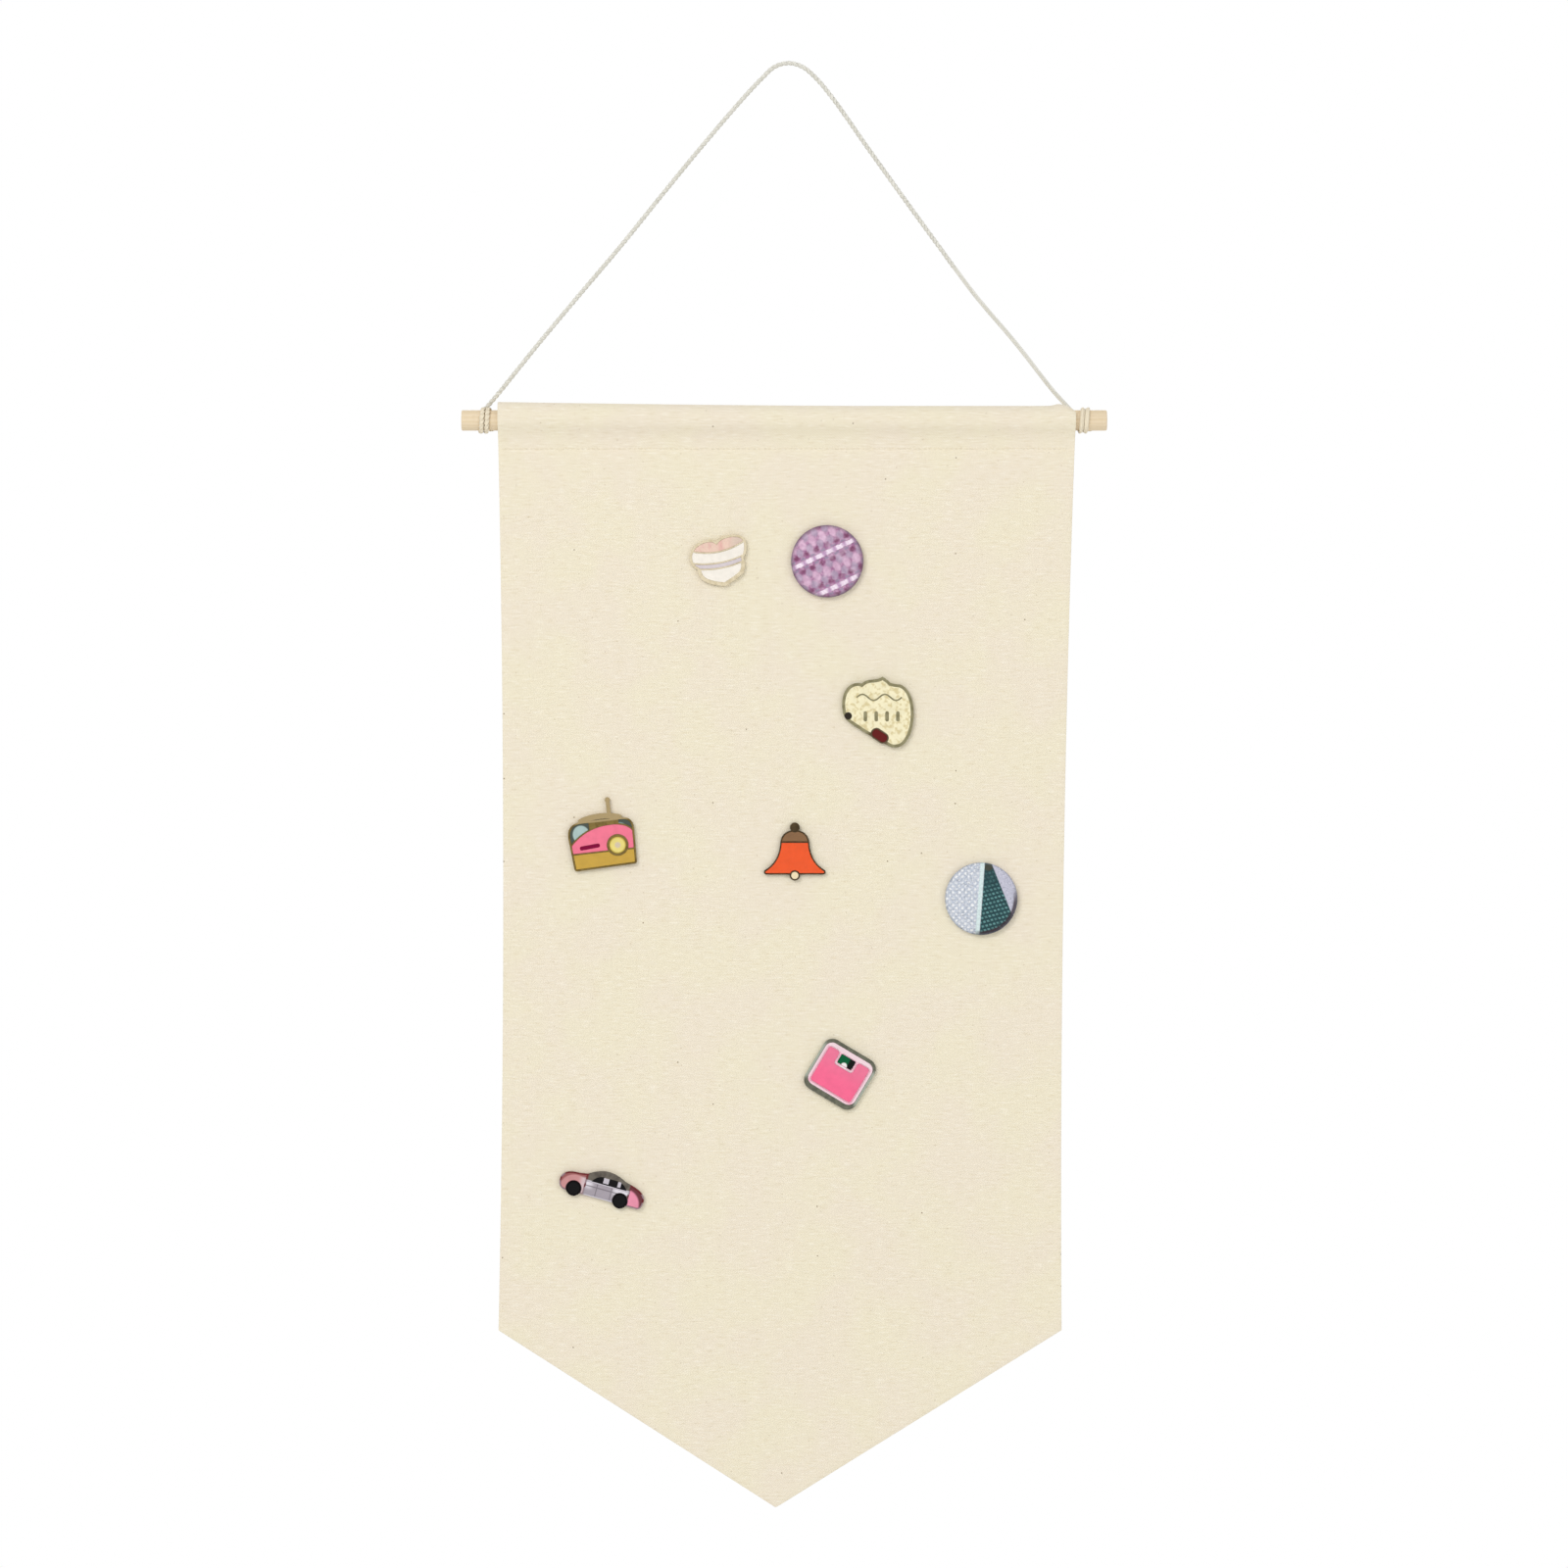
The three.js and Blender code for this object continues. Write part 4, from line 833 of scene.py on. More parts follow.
def seed_specks(sheet, flat, scale, gone, solid, rarity):
    """Dots in a few cells of a mosaic, solid up to one distance from their middle and gone at another."""
    cells = sheet.add("ShaderNodeTexVoronoi", {"voronoi_dimensions": "2D"}, {"Vector": flat, "Scale": scale})
    pick = sheet.add("ShaderNodeSeparateColor", {}, {0: cells.side("Color")})
    return cells.fade(gone, solid) * (pick > rarity)


def canvas_finish(name, pale, warm):
    sheet = new_finish(name)
    flat = sheet.add("ShaderNodeUVMap", {"uv_map": "cloth"})
    at = sheet.split(flat)
    weave = at.wave(YARN * MM) * at.side("Y").wave(YARN * MM)
    slubs = sheet.stretched(flat, (190, 1250, 1), 2)
    upright = sheet.stretched(flat, (950, 45, 1), 2)
    clouds = sheet.noise(flat, 32.0, 3)
    tone = sheet.mix(clouds.fade(0.35, 0.65), pale, warm)
    # Slubs: the paler dashes are partly painted highlight on raised yarn, the darker ones partly painted
    # shade.
    tone = sheet.mix(slubs.fade(0.54, 0.72) * 0.42, tone, paint(254, 248, 233))
    tone = sheet.mix(slubs.fade(0.45, 0.28) * 0.45, tone, paint(226, 212, 182))
    tone = sheet.mix(upright.fade(0.55, 0.8) * 0.15, tone, paint(226, 213, 184))
    tone = sheet.mix(weave.fade(-0.4, -1.0) * 0.15, tone, paint(205, 190, 158))
    large = seed_specks(sheet, flat, 62.0, gone=0.028, solid=0.012, rarity=0.93)
    tone = sheet.mix(large * 0.75, tone, paint(112, 88, 56))
    small = seed_specks(sheet, flat, 170.0, gone=0.07, solid=0.03, rarity=0.9)
    tone = sheet.mix(small * 0.3, tone, paint(150, 125, 88))
    relief = 0.5 + 0.3 * weave + 0.35 * (slubs - 0.5)
    return sheet.close({
        "Base Color": tone, "Roughness": 0.95, "Sheen Weight": 0.15, "Specular IOR Level": 0.2,
        "Normal": sheet.bump(relief, 0.08 * MM, 0.8),
    })


FRONT_COTTON = canvas_finish("natural_canvas", pale=paint(240, 231, 206), warm=paint(240, 229, 209))
LINING_COTTON = canvas_finish("lining_canvas", pale=paint(238, 229, 203), warm=paint(238, 227, 208))
print("canvas finishes:", FRONT_COTTON.name, LINING_COTTON.name)

# %% [markdown]
# ## Standing in for solids
# A new piece moves with a body of the imported model and hides the solids that it stands for. The record
# knows the body of each solid, so one helper reads it from there, and a piece rides where its solids ride.

# %% Dress a piece
BODY_OF = {node: body for body, nodes in frame["record"]["behaviour"]["bodies"].items() for node in nodes}


def dress(piece, finish, *nodes):
    """Gives a piece its finish, and lets it stand for solids: it moves with them and hides them."""
    piece.data.materials.clear()
    piece.data.materials.append(finish)
    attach(piece, BODY_OF[nodes[0]])
    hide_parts(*nodes)


dress(front_canvas, FRONT_COTTON, "front_panel")
dress(lining_canvas, LINING_COTTON, "back_panel")
print("canvas rides on", BODY_OF["front_panel"])

# %% [markdown]
# ## The seam
# A lockstitch shows as a row of short threads, each pulled down at both ends. One small stretched ball
# is repeated along the seam, in front and behind, and all of them are one piece.

# %% Row of stitches
TO_METRES = Matrix.Scale(MM, 4)
LIE_ALONG = Matrix.Rotation(math.radians(90), 4, "Y")
STITCH_LENGTH = 2.0
STITCH_LEAN = math.radians(4)
THREAD_RADIUS = 0.22
SEAM_INSET = 2.0  # from the side of the canvas to the first stitch
SEAM_Y = 1.68  # the faces of the sleeve, pinched together by the stitches


def seam_thread():
    mesh = bmesh.new()
    left = pennant_side(-1, -SEAM_DROP) + SEAM_INSET
    right = pennant_side(1, -SEAM_DROP) - SEAM_INSET
    lean = Matrix.Rotation(STITCH_LEAN, 4, "Y")
    shape = Matrix.Diagonal((STITCH_LENGTH / 2, THREAD_RADIUS, THREAD_RADIUS, 1))
    for face_y in (-SEAM_Y, SEAM_Y):
        for i in range(int((right - left) / STITCH_PITCH)):
            middle = Vector((BOARD_X + left + (i + 0.5) * STITCH_PITCH, face_y, BOARD_Z - SEAM_DROP))
            place = TO_METRES @ Matrix.Translation(middle) @ lean @ shape @ LIE_ALONG
            bmesh.ops.create_uvsphere(mesh, u_segments=6, v_segments=5, radius=1.0, matrix=place)
    for face in mesh.faces:
        face.smooth = True
    return new_object("seam_thread", mesh)


def thread_finish():
    sheet = new_finish("sewing_thread")
    twist = sheet.noise(sheet.place(scale=(900, 2500, 2500)), 1.0)
    tone = sheet.mix(twist.fade(0.35, 0.7), paint(228, 216, 190), paint(243, 235, 215))
    return sheet.close({
        "Base Color": tone, "Roughness": 0.8, "Sheen Weight": 0.2, "Normal": sheet.bump(twist, 0.05 * MM),
    })


thread = seam_thread()
thread.data.materials.append(thread_finish())
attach(thread, BODY_OF["front_panel"])
print("stitch faces:", len(thread.data.polygons))

# %% [markdown]
# ## The dowel
# A plain round stick of pale wood with its sharp ends broken. A capped cylinder with two bevelled rims
# is the whole shape. Its finish is solid wood: the grain runs along the stick and rings show at the
# ends, because the pattern reads the place in space and not the surface.

# %% Stick and its wood
DOWEL_EDGE = 0.6
DOWEL_SIDES = 64
HEART = Vector((BOARD_X, 1.2, BOARD_Z - 4.0)) * MM  # middle of the rings, low in the stick
RING_WIDTH = 0.55


def make_dowel():
    low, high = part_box("dowel")
    mesh = bmesh.new()
    middle = Matrix.Translation((Vector(low) + Vector(high)) / 2)
    bmesh.ops.create_cone(
        mesh, cap_ends=True, segments=DOWEL_SIDES, radius1=DOWEL_RADIUS * MM, radius2=DOWEL_RADIUS * MM,
        depth=high[0] - low[0], matrix=middle @ LIE_ALONG)
    rims = [edge for edge in mesh.edges if edge.calc_face_angle() > SHARP]
    bmesh.ops.bevel(
        mesh, geom=rims, offset=DOWEL_EDGE * MM, affect="EDGES", segments=3, profile=0.5, material=-1)
    for face in mesh.faces:
        face.smooth = len(face.verts) == 4
    return new_object("wooden_dowel", mesh)


def wood_finish():
    sheet = new_finish("pale_wood")
    at = sheet.place(HEART)
    bend = sheet.stretched(at, (9, 60, 60))
    part = sheet.split(at)
    away = distance(part.side("Y"), part.side("Z"))
    rings = 0.5 + 0.5 * (away + 0.004 * bend).wave(RING_WIDTH * MM)
    grain = sheet.stretched(at, (45, 1900, 1900), 3)
    flecks = sheet.stretched(at, (330, 2600, 2600), 1)
    tone = sheet.mix(rings.fade(0.2, 0.9) * 0.6, paint(237, 218, 187), paint(229, 208, 172))
    tone = sheet.mix(grain.fade(0.5, 0.75) * 0.35, tone, paint(212, 188, 148))
    tone = sheet.mix(flecks.fade(0.66, 0.8) * 0.3, tone, paint(190, 158, 114))
    return sheet.close({
        "Base Color": tone, "Roughness": 0.62 + 0.2 * grain, "Specular IOR Level": 0.35,
        "Normal": sheet.bump(grain, 0.08 * MM, 0.6),
    })


dowel = make_dowel()
dress(dowel, wood_finish(), "dowel")
print("dowel faces:", len(dowel.data.polygons))

# %% [markdown]
# ## What the cloth is
# A sheet of cloth can hang in many ways, so its model alone doesn't tell how it was cut. Here the width of
# its flat cut is worked out from the outline.

# %% Cloth facts
flat_width = (pennant_side(1, 0) - pennant_side(-1, 0)) * MM

# %% [markdown]
# ## Struck metal and soft enamel
# An enamel pin is a plate of metal struck with raised lines. Colour is baked into the pockets between
# the lines and ends a little below them. So each pin here is one flat outline pulled up into a plate,
# each pocket is cut out of the plate with a Boolean modifier, and each fill is a thinner solid in its
# pocket. Every solid is given a fine bevel for a bright edge. It grows no wider than the shortest edges of
# the solid allow, so the backs with the most corners, the bubble, the radio and the car, stay nearly sharp.

# %% A loop drawn stroke by stroke
CURVE_STEPS = 10
SAME_PLACE = 0.001
PIN_RIM = 0.6


def outline(start, *strokes):
    """A closed loop: each stroke ends a line (2 numbers), a simple curve (4) or a full curve (6)."""
    loop, at = [], Vector(start)
    for stroke in strokes:
        marks = [Vector(stroke[i:i + 2]) for i in range(0, len(stroke), 2)]
        end = marks[-1]
        if len(marks) == 1:
            loop.append(at)
        else:
            handles = marks[:2]
            if len(marks) == 2:
                handles = [at.lerp(marks[0], 2 / 3), end.lerp(marks[0], 2 / 3)]
            loop += interpolate_bezier(at, handles[0], handles[1], end, CURVE_STEPS + 1)[:-1]
        at = end
    loop = [Vector(point[:2]) for point in loop]
    if (at - loop[0]).length > SAME_PLACE:
        loop.append(at)
    turning = sum(a.x * b.y - b.x * a.y for a, b in zip(loop, loop[1:] + loop[:1]))
    return loop if turning > 0 else loop[::-1]


print("a curved stroke has", CURVE_STEPS, "steps")

# %% [markdown]
# ## Loops inside loops
# The metal round a pocket has the same width all along, so the pocket is the pin's own outline moved
# inwards. Scaling wouldn't do that, because it narrows the long way more. Each side is moved instead, and
# a corner that would fold over itself is dropped.

# %% A loop moved inwards
FOLDED_OVER = 0.97  # share of the distance that a corner has to keep from every side


def gap(at, first, last):
    """Distance from a point to a straight side."""
    side = last - first
    share = (at - first).dot(side) / max(side.length_squared, 1e-9)
    return (at - first - side * min(max(share, 0.0), 1.0)).length


def inset(loop, by):
    """The loop with every side moved inwards, or outwards below 0. A corner that folds over is left out."""
    if not by:
        return loop
    sides = list(zip(loop, loop[1:] + loop[:1]))
    moved = []
    for (before, at), (_, after) in zip(sides[-1:] + sides, sides):
        arriving, leaving = (at - before).normalized(), (after - at).normalized()
        inwards = Vector((-arriving.y - leaving.y, arriving.x + leaving.x))
        corner = at + inwards * by / (1 + arriving.dot(leaving))
        if min(gap(corner, *side) for side in sides) > FOLDED_OVER * abs(by):
            moved.append(corner)
    return moved


print("a pocket starts", PIN_RIM, "mm inside its pin")

# %% Plain loops
CIRCLE_STEPS = 40
CORNER_STEPS = 6


def arc(x, y, radius, first, last, steps):
    turns = [math.radians(lerp(first, last, i / steps)) for i in range(steps + 1)]
    return [Vector((x + radius * math.cos(turn), y + radius * math.sin(turn))) for turn in turns]


def circle(x, y, radius):
    return arc(x, y, radius, 0, 360, CIRCLE_STEPS)[:-1]


def rectangle(left, bottom, right, top):
    return [Vector(at) for at in ((left, bottom), (right, bottom), (right, top), (left, top))]


def rounded(width, height, radius, x=0.0, y=0.0, turn=0.0):
    """A rectangle with round corners about (x, y), turned by some degrees."""
    across, up = width / 2 - radius, height / 2 - radius
    corners = (across, up), (-across, up), (-across, -up), (across, -up)
    loop = []
    for i, corner in enumerate(corners):
        loop += arc(*corner, radius, 90 * i, 90 * (i + 1), CORNER_STEPS)
    spin = Matrix.Rotation(math.radians(turn), 2)
    return [spin @ at + Vector((x, y)) for at in loop]


def ribbon(line, width):
    """The loop round an even band along an open line."""
    sides = [[], []]
    for before, at, after in zip(line[:1] + line, line, line[1:] + line[-1:]):
        way = (after - before).normalized()
        for side, sign in zip(sides, (-1, 1)):
            side.append(at + Vector((-way.y, way.x)) * sign * width / 2)
    return sides[0] + sides[1][::-1]


print("a circle has", len(circle(0, 0, 1)), "points")

# %% [markdown]
# ## Solids from loops
# One face pulled up makes a plate or a fill. Boolean modifiers join plates, cut the pockets, and keep of a
# fill only what lies inside all of its loops. Posts, buttons and clutch caps are round, so they are spun
# from a profile. The fine bevel comes before the post is joined on, so it rounds only what is struck.

# %% Plates, pockets and fills
PIN_THICKNESS = 1.5
PIN_FLOOR = 0.9
CUTTER_REACH = 1.0  # a cutting solid sticks out above and below what it cuts


def prism(loop, low, high):
    """A loop pulled up from one height to another."""
    mesh = bmesh.new()
    base = mesh.faces.new([mesh.verts.new((at.x, at.y, low)) for at in loop])
    grown = bmesh.ops.extrude_face_region(mesh, geom=[base])["geom"]
    lifted = [item for item in grown if isinstance(item, bmesh.types.BMVert)]
    bmesh.ops.translate(mesh, verts=lifted, vec=(0, 0, high - low))
    bmesh.ops.recalc_face_normals(mesh, faces=mesh.faces)
    return mesh


def combined(first, others, operation):
    """Solids joined (UNION), cut from the first (DIFFERENCE) or the space they share (INTERSECT)."""
    if not others:
        return first
    helpers = [new_object("blank", mesh) for mesh in [first] + others]
    for tool in helpers[1:]:
        step = helpers[0].modifiers.new("step", "BOOLEAN")
        step.operation = operation
        step.object = tool
    ready = helpers[0].evaluated_get(bpy.context.evaluated_depsgraph_get())
    shaped = bpy.data.meshes.new_from_object(ready)
    result = bmesh.new()
    result.from_mesh(shaped)
    bpy.data.meshes.remove(shaped)
    for helper in helpers:
        bpy.data.objects.remove(helper)
    return result


def cell_solid(inside, around, shrink, low, high):
    """The space inside all of some loops and outside all of some others. Only the first has the height."""
    first = prism(inset(inside[0], shrink), low, high)
    bottom, top = low - CUTTER_REACH, high + CUTTER_REACH
    limits = [prism(inset(loop, shrink), bottom, top) for loop in inside[1:]]
    islands = [prism(inset(loop, -shrink), bottom, top) for loop in around]
    return combined(combined(first, limits, "INTERSECT"), islands, "DIFFERENCE")


print("pin metal:", PIN_THICKNESS, "mm thick,", PIN_FLOOR, "mm under the enamel")

# %% Posts and fine bevels
POST_RADIUS = 0.6
POST_LENGTH = 8.6
POST_SIDES = 20
NOTCH_RADIUS = 0.48
PIN_SOFT = 0.1  # the widest that a bevel may be
SLIVER = 0.02  # shorter edges are taken out before the bevel
FLAT_ENOUGH = math.radians(0.5)  # faces that meet at less than this become one


def spun(profile, steps):
    """A profile of (radius, height) turned once about the local Z axis."""
    mesh = bmesh.new()
    line = [mesh.verts.new((radius, 0, height)) for radius, height in profile]
    edges = [mesh.edges.new(pair) for pair in zip(line, line[1:])]
    bmesh.ops.spin(
        mesh, geom=line + edges, cent=(0, 0, 0), axis=(0, 0, 1), angle=2 * math.pi, steps=steps,
        use_merge=True)
    bmesh.ops.remove_doubles(mesh, verts=mesh.verts, dist=SAME_PLACE)
    bmesh.ops.recalc_face_normals(mesh, faces=mesh.faces)
    return mesh


def post(x=0.0, base=0.0):
    """A pointed post with a notch that the clutch's spring snaps into."""
    low, root = base - POST_LENGTH, base + PIN_FLOOR / 2
    profile = [
        (0, low), (0.12, low + 0.03), (0.42, low + 0.9), (POST_RADIUS, low + 1.6),
        (NOTCH_RADIUS, low + 2.2), (NOTCH_RADIUS, low + 2.5), (POST_RADIUS, low + 2.9),
        (POST_RADIUS, root), (0, root),
    ]
    mesh = spun(profile, POST_SIDES)
    off_spokes = Matrix.Rotation(math.radians(2), 4, "Z")  # so that no edge of it meets a disc's edge
    bmesh.ops.transform(mesh, matrix=Matrix.Translation((x, 0, 0)) @ off_spokes, verts=mesh.verts)
    return mesh


def soften(mesh):
    """Rounds the level edges, a pin's rims and lines, as far as its shortest edges leave room for it."""
    bmesh.ops.dissolve_degenerate(mesh, edges=mesh.edges, dist=SLIVER)
    bmesh.ops.dissolve_limit(mesh, angle_limit=FLAT_ENOUGH, verts=mesh.verts, edges=mesh.edges)
    rims = []
    for edge in mesh.edges:
        level = abs(edge.verts[0].co.z - edge.verts[1].co.z) < SAME_PLACE
        if level and edge.is_manifold and edge.calc_face_angle() > SHARP:
            rims.append(edge)
    bmesh.ops.bevel(
        mesh, geom=rims, offset=PIN_SOFT, affect="EDGES", segments=2, profile=0.5, material=-1,
        clamp_overlap=True)


print("posts:", 2 * POST_RADIUS, "mm thick,", POST_LENGTH, "mm long")

# %% [markdown]
# ## Finishes of the pins
# Enamel is glass-smooth but never one flat colour: it pools darker in places and holds tiny pits. Plated
# metal has faint brush marks and dulls in patches. Both read Object coordinates, turned into millimetres
# from their badge's middle along the badge's own level and upright. So a second colour can be laid at a
# known place of a pin, such as the handle of a radio.


# %% Millimetres of a badge
def badge_plane(sheet, badge):
    """Across and up in millimetres from a badge's middle, along its own tilt, and both as a vector."""
    x, z, tilt, _ = BADGES[badge]
    middle = ((BOARD_X + x) * MM, 0, (BOARD_Z + z) * MM)
    at = sheet.place(middle, math.radians(tilt), (1 / MM, 1 / MM, 1 / MM))
    across = sheet.split(at)
    return across, across.side("Z"), at


def within(value, low, high, soft=0.12):
    """1 where a value lies between two numbers and 0 elsewhere, with soft ends."""
    return value.fade(low - soft, low + soft) * value.fade(high + soft, high - soft)


def away_from(across, up, x, y, wide=1.0, high=1.0):
    """Distance from a spot of a badge, in units of its half width and half height."""
    return distance((across - x) / wide, (up - y) / high)


print("patterns on a badge are in units of", MM, "m")

# %% Enamel
POOLED = 0.88  # light that is left where the enamel pools
DARK_ENAMEL = 130  # a colour without a channel above this shines less
DARK_SHINE, PALE_SHINE = 0.1, 0.4


def toned(colour, share):
    """The same paint with less light in it."""
    return (colour[0] * share, colour[1] * share, colour[2] * share, 1.0)


def enamel_finish(name, badge, colour, detail):
    """Glossy enamel that drifts to a deeper tone. A detail can paint more over it. Dark ones shine less."""
    sheet = new_finish(name)
    across, up, at = badge_plane(sheet, badge)
    drift = sheet.noise(at, 0.26, 2)
    pits = sheet.noise(at, 2.6, 1)
    tone, deep = paint(*colour), toned(paint(*colour), POOLED)
    tone = sheet.mix(drift.fade(0.35, 0.7) * 0.6, tone, deep)
    tone = sheet.mix(pits.fade(0.68, 0.8) * 0.18, tone, deep)
    if detail:
        tone = detail(sheet, across, up, tone)
    shine = DARK_SHINE if max(colour) < DARK_ENAMEL else PALE_SHINE
    return sheet.close({
        "Base Color": tone, "Roughness": 0.16 + 0.12 * drift, "Specular IOR Level": shine,
        "Coat Weight": shine / 2, "Coat Roughness": 0.06,
        "Normal": sheet.bump(drift + 0.15 * pits, 0.05 * MM, 0.5),
    })


print("pooled white enamel is", [round(value, 3) for value in toned(WHITE, POOLED)])


# %% Plating
def plating_finish(name, bright, dull, badge=None, detail=None):
    """Plated metal with fine brush marks. On a badge, a detail can darken or stain some of it."""
    sheet = new_finish(name)
    at = sheet.place()
    stain = sheet.noise(at, 420.0, 3)
    brush = sheet.stretched(at, (2400, 300, 900))
    tone = sheet.mix(stain.fade(0.35, 0.7), paint(*bright), paint(*dull))
    if detail:
        across, up, _ = badge_plane(sheet, badge)
        tone = detail(sheet, across, up, tone)
    return sheet.close({
        "Base Color": tone, "Metallic": 1.0, "Roughness": 0.3 + 0.2 * stain,
        "Normal": sheet.bump(brush, 0.02 * MM, 0.4),
    })


TIN = plating_finish("tinned_steel", (206, 207, 208), (178, 180, 184))
BRASS = plating_finish("clutch_brass", (222, 188, 112), (196, 158, 84))
print("plain platings:", TIN.name, BRASS.name)

# %% [markdown]
# ## A pin from its drawing
# Every enamel pin is made in the same order, so one function makes them all: the plates are joined, the
# pockets cut, the edges rounded and the posts put on, and then each pocket gets its fill. A cell is one
# pocket: its name, its colour, the loops it lies inside, the loops it goes round, and a painted detail.

# %% Build a pin
PIN_BACK_Y = -2.15  # the back of a pin, just in front of the canvas
FILL_GAP = 0.04
FILL_SUNK = 0.12
TINY = 0.0005
Cell = namedtuple("Cell", "name colour inside around detail", defaults=((), None))


def badge_place(name):
    """From a pin's own millimetres, with its back at 0 and its face up, to its place on the board."""
    x, z, tilt, _ = BADGES[name]
    stand = Matrix.Rotation(math.radians(90), 4, "X") @ Matrix.Rotation(math.radians(tilt), 4, "Z")
    return TO_METRES @ Matrix.Translation((BOARD_X + x, PIN_BACK_Y, BOARD_Z + z)) @ stand


def finished(name, mesh, place):
    """A solid in millimetres put in its place, with its flat faces shaded flat."""
    bmesh.ops.dissolve_degenerate(mesh, edges=mesh.edges, dist=TINY)
    bmesh.ops.transform(mesh, matrix=place, verts=mesh.verts)
    for face in mesh.faces:
        face.smooth = True
    piece = new_object(name, mesh)
    steady = piece.modifiers.new("flat_faces", "WEIGHTED_NORMAL")
    steady.keep_sharp = True
    return piece


def make_pin(name, plate, plates, cells, posts=(0.0,)):
    """A struck back with its posts, and the enamel fill of each cell."""
    place = badge_place(name)
    blanks = [prism(loop, 0, PIN_THICKNESS) for loop in plates]
    pockets = [cell_solid(cell.inside, cell.around, 0, PIN_FLOOR, 2 * PIN_THICKNESS) for cell in cells]
    back = combined(combined(blanks[0], blanks[1:], "UNION"), pockets, "DIFFERENCE")
    soften(back)
    back = combined(back, [post(x) for x in posts], "UNION")
    dress(finished(f"{name}_struck_back", back, place), plate, f"{name}_back")
    low, high = PIN_FLOOR + FILL_GAP, PIN_THICKNESS - FILL_SUNK
    for cell in cells:
        fill = cell_solid(cell.inside, cell.around, FILL_GAP, low, high)
        soften(fill)
        look = enamel_finish(f"{name}_{cell.name}_enamel", name, cell.colour, cell.detail)
        dress(finished(f"{name}_{cell.name}_fill", fill, place), look, f"{name}_{cell.name}")
    print(name, "pin:", len(cells), "fills")


print("the sweet's back is at", [round(value, 4) for value in badge_place("sweet").translation])

# %% [markdown]
# ## Layered sweet
# Each pin is only its drawing now: the outline, the lines that part its colours, and the colours. A
# detail is a small function that paints over one colour or over the metal: streaks, lines and spots too
# fine to be cells of their own. The sweet has four layers between bowed lines. A band reaches much wider
# than the pin, because a cell keeps only what all its loops share.

# %% Outline and bands of the sweet
WIDE = 20.0
sweet_edge = outline(
    (-13.0, 1.8), (-13.2, 6.5, -8.5, 9.9, -3.0, 9.7), (-0.8, 9.6, 0.4, 8.2), (2.6, 10.2, 7.0, 10.2),
    (11.0, 10.2, 13.9, 8.6, 14.0, 5.6), (14.1, 2.6, 13.0, 0.2, 11.5, -1.4),
    (12.2, -4.0, 11.6, -7.0, 9.6, -8.6), (6.5, -10.8, 3.6, -11.6, 1.2, -12.8),
    (-2.5, -11.9, -7.5, -10.4, -9.4, -7.6), (-10.6, -5.6, -10.4, -3.0), (-12.8, -1.4, -13.0, 1.8))
sweet_field = inset(sweet_edge, 1.7 * PIN_RIM)
# The lower band sits further in, so the metal shows wider at the foot: partly the rim, partly painted shadow
# under the pin's lower edge.
sweet_foot = inset(sweet_edge, 2.8 * PIN_RIM)


def bowed(height, bow):
    """A line across a pin that rises towards both its ends."""
    return [Vector((x, height + bow * x * x)) for x in range(-15, 16)]


def band(low, high):
    """The space between two bowed lines, each given by its height in the middle and its bow."""
    return bowed(*low) + bowed(*high)[::-1]


print("sweet outline:", len(sweet_edge), "points")


# %% Colours of the sweet
def rose_streaks_and_shade(sheet, across, up, tone):
    fan = across / (up + 12.0)
    streaks = sheet.noise(sheet.add("ShaderNodeCombineXYZ", {}, {0: fan * 16.0, 1: up * 0.25}), 1.0, 2)
    tone = sheet.mix(streaks.fade(0.5, 0.7) * 0.55, tone, paint(228, 172, 165))
    tone = sheet.mix(within(across, 1.0, 3.2, 0.8) * 0.45, tone, paint(222, 160, 155))
    # Painted shade: the right third of the top turns grey-tan.
    return sheet.mix(across.fade(5.5, 10.0) * 0.7, tone, paint(212, 196, 180))


PALE_PLATE = plating_finish("pale_plate", (221, 208, 179), (202, 188, 157))
make_pin("sweet", PALE_PLATE, [sweet_edge], [
    Cell("top", (238, 206, 188), [sweet_field, band((3.7, 0.017), (WIDE, 0))], (), rose_streaks_and_shade),
    Cell("upper_band", (250, 243, 232), [sweet_field, band((-1.4, 0.012), (3.7 - PIN_RIM, 0.017))]),
    Cell("filling", (217, 206, 210), [sweet_field, band((-3.9, 0.012), (-1.4 - PIN_RIM, 0.012))]),
    Cell("lower_band", (250, 243, 232), [sweet_foot, band((-WIDE, 0), (-3.9 - PIN_RIM, 0.012))]),
])

# %% [markdown]
# ## Bubble
# A pale bubble with a broad rim, a dark stud and a red patch. The patch and the stud have plates of their
# own that reach past the rim, so the plates are joined first. Raised bars and a wavy line stand in its
# face: they are left standing as islands when the pocket is cut, which is how a die strikes them.

# %% Outline and raised lines of the bubble
BUBBLE_RIM = 2.2 * PIN_RIM
bubble_edge = outline(
    (-17.2, 3.6), (-17.4, 8.2, -15.6, 12.8, -11.4, 13.9), (-9.4, 14.3, -8.2, 13.7), (-6.2, 15.6, -3.2, 15.6),
    (-0.4, 15.7, 1.5, 17.0), (3.4, 15.9, 5.2, 14.1), (7.4, 13.5, 9.6, 13.4), (13.6, 12.0, 15.9, 7.0, 16.0, 0),
    (16.0, -7.0, 13.6, -13.8, 9.6, -15.4), (6.2, -16.6, 3.4, -14.5), (-7.0, -8.8), (-13.6, -4.4),
    (-16.4, -2.4, -17.0, 0.2, -17.2, 3.6))
PATCH_AT = (0.2, -10.4)
STUD_AT = (-14.4, -1.2)
patch = rounded(7.6, 4.0, 1.9, *PATCH_AT, -34)
patch_frame = inset(patch, -PIN_RIM)
stud = circle(*STUD_AT, 1.7)
bars = [rounded(1.5, 4.6, 0.7, x, -1.4) for x in (-6.4, -1.4, 3.6, 8.6)]
WAVE_HALF, WAVE_Y, WAVE_RISE, WAVE_STEPS = 10.4, 7.4, 1.4, 48
wave_line = []
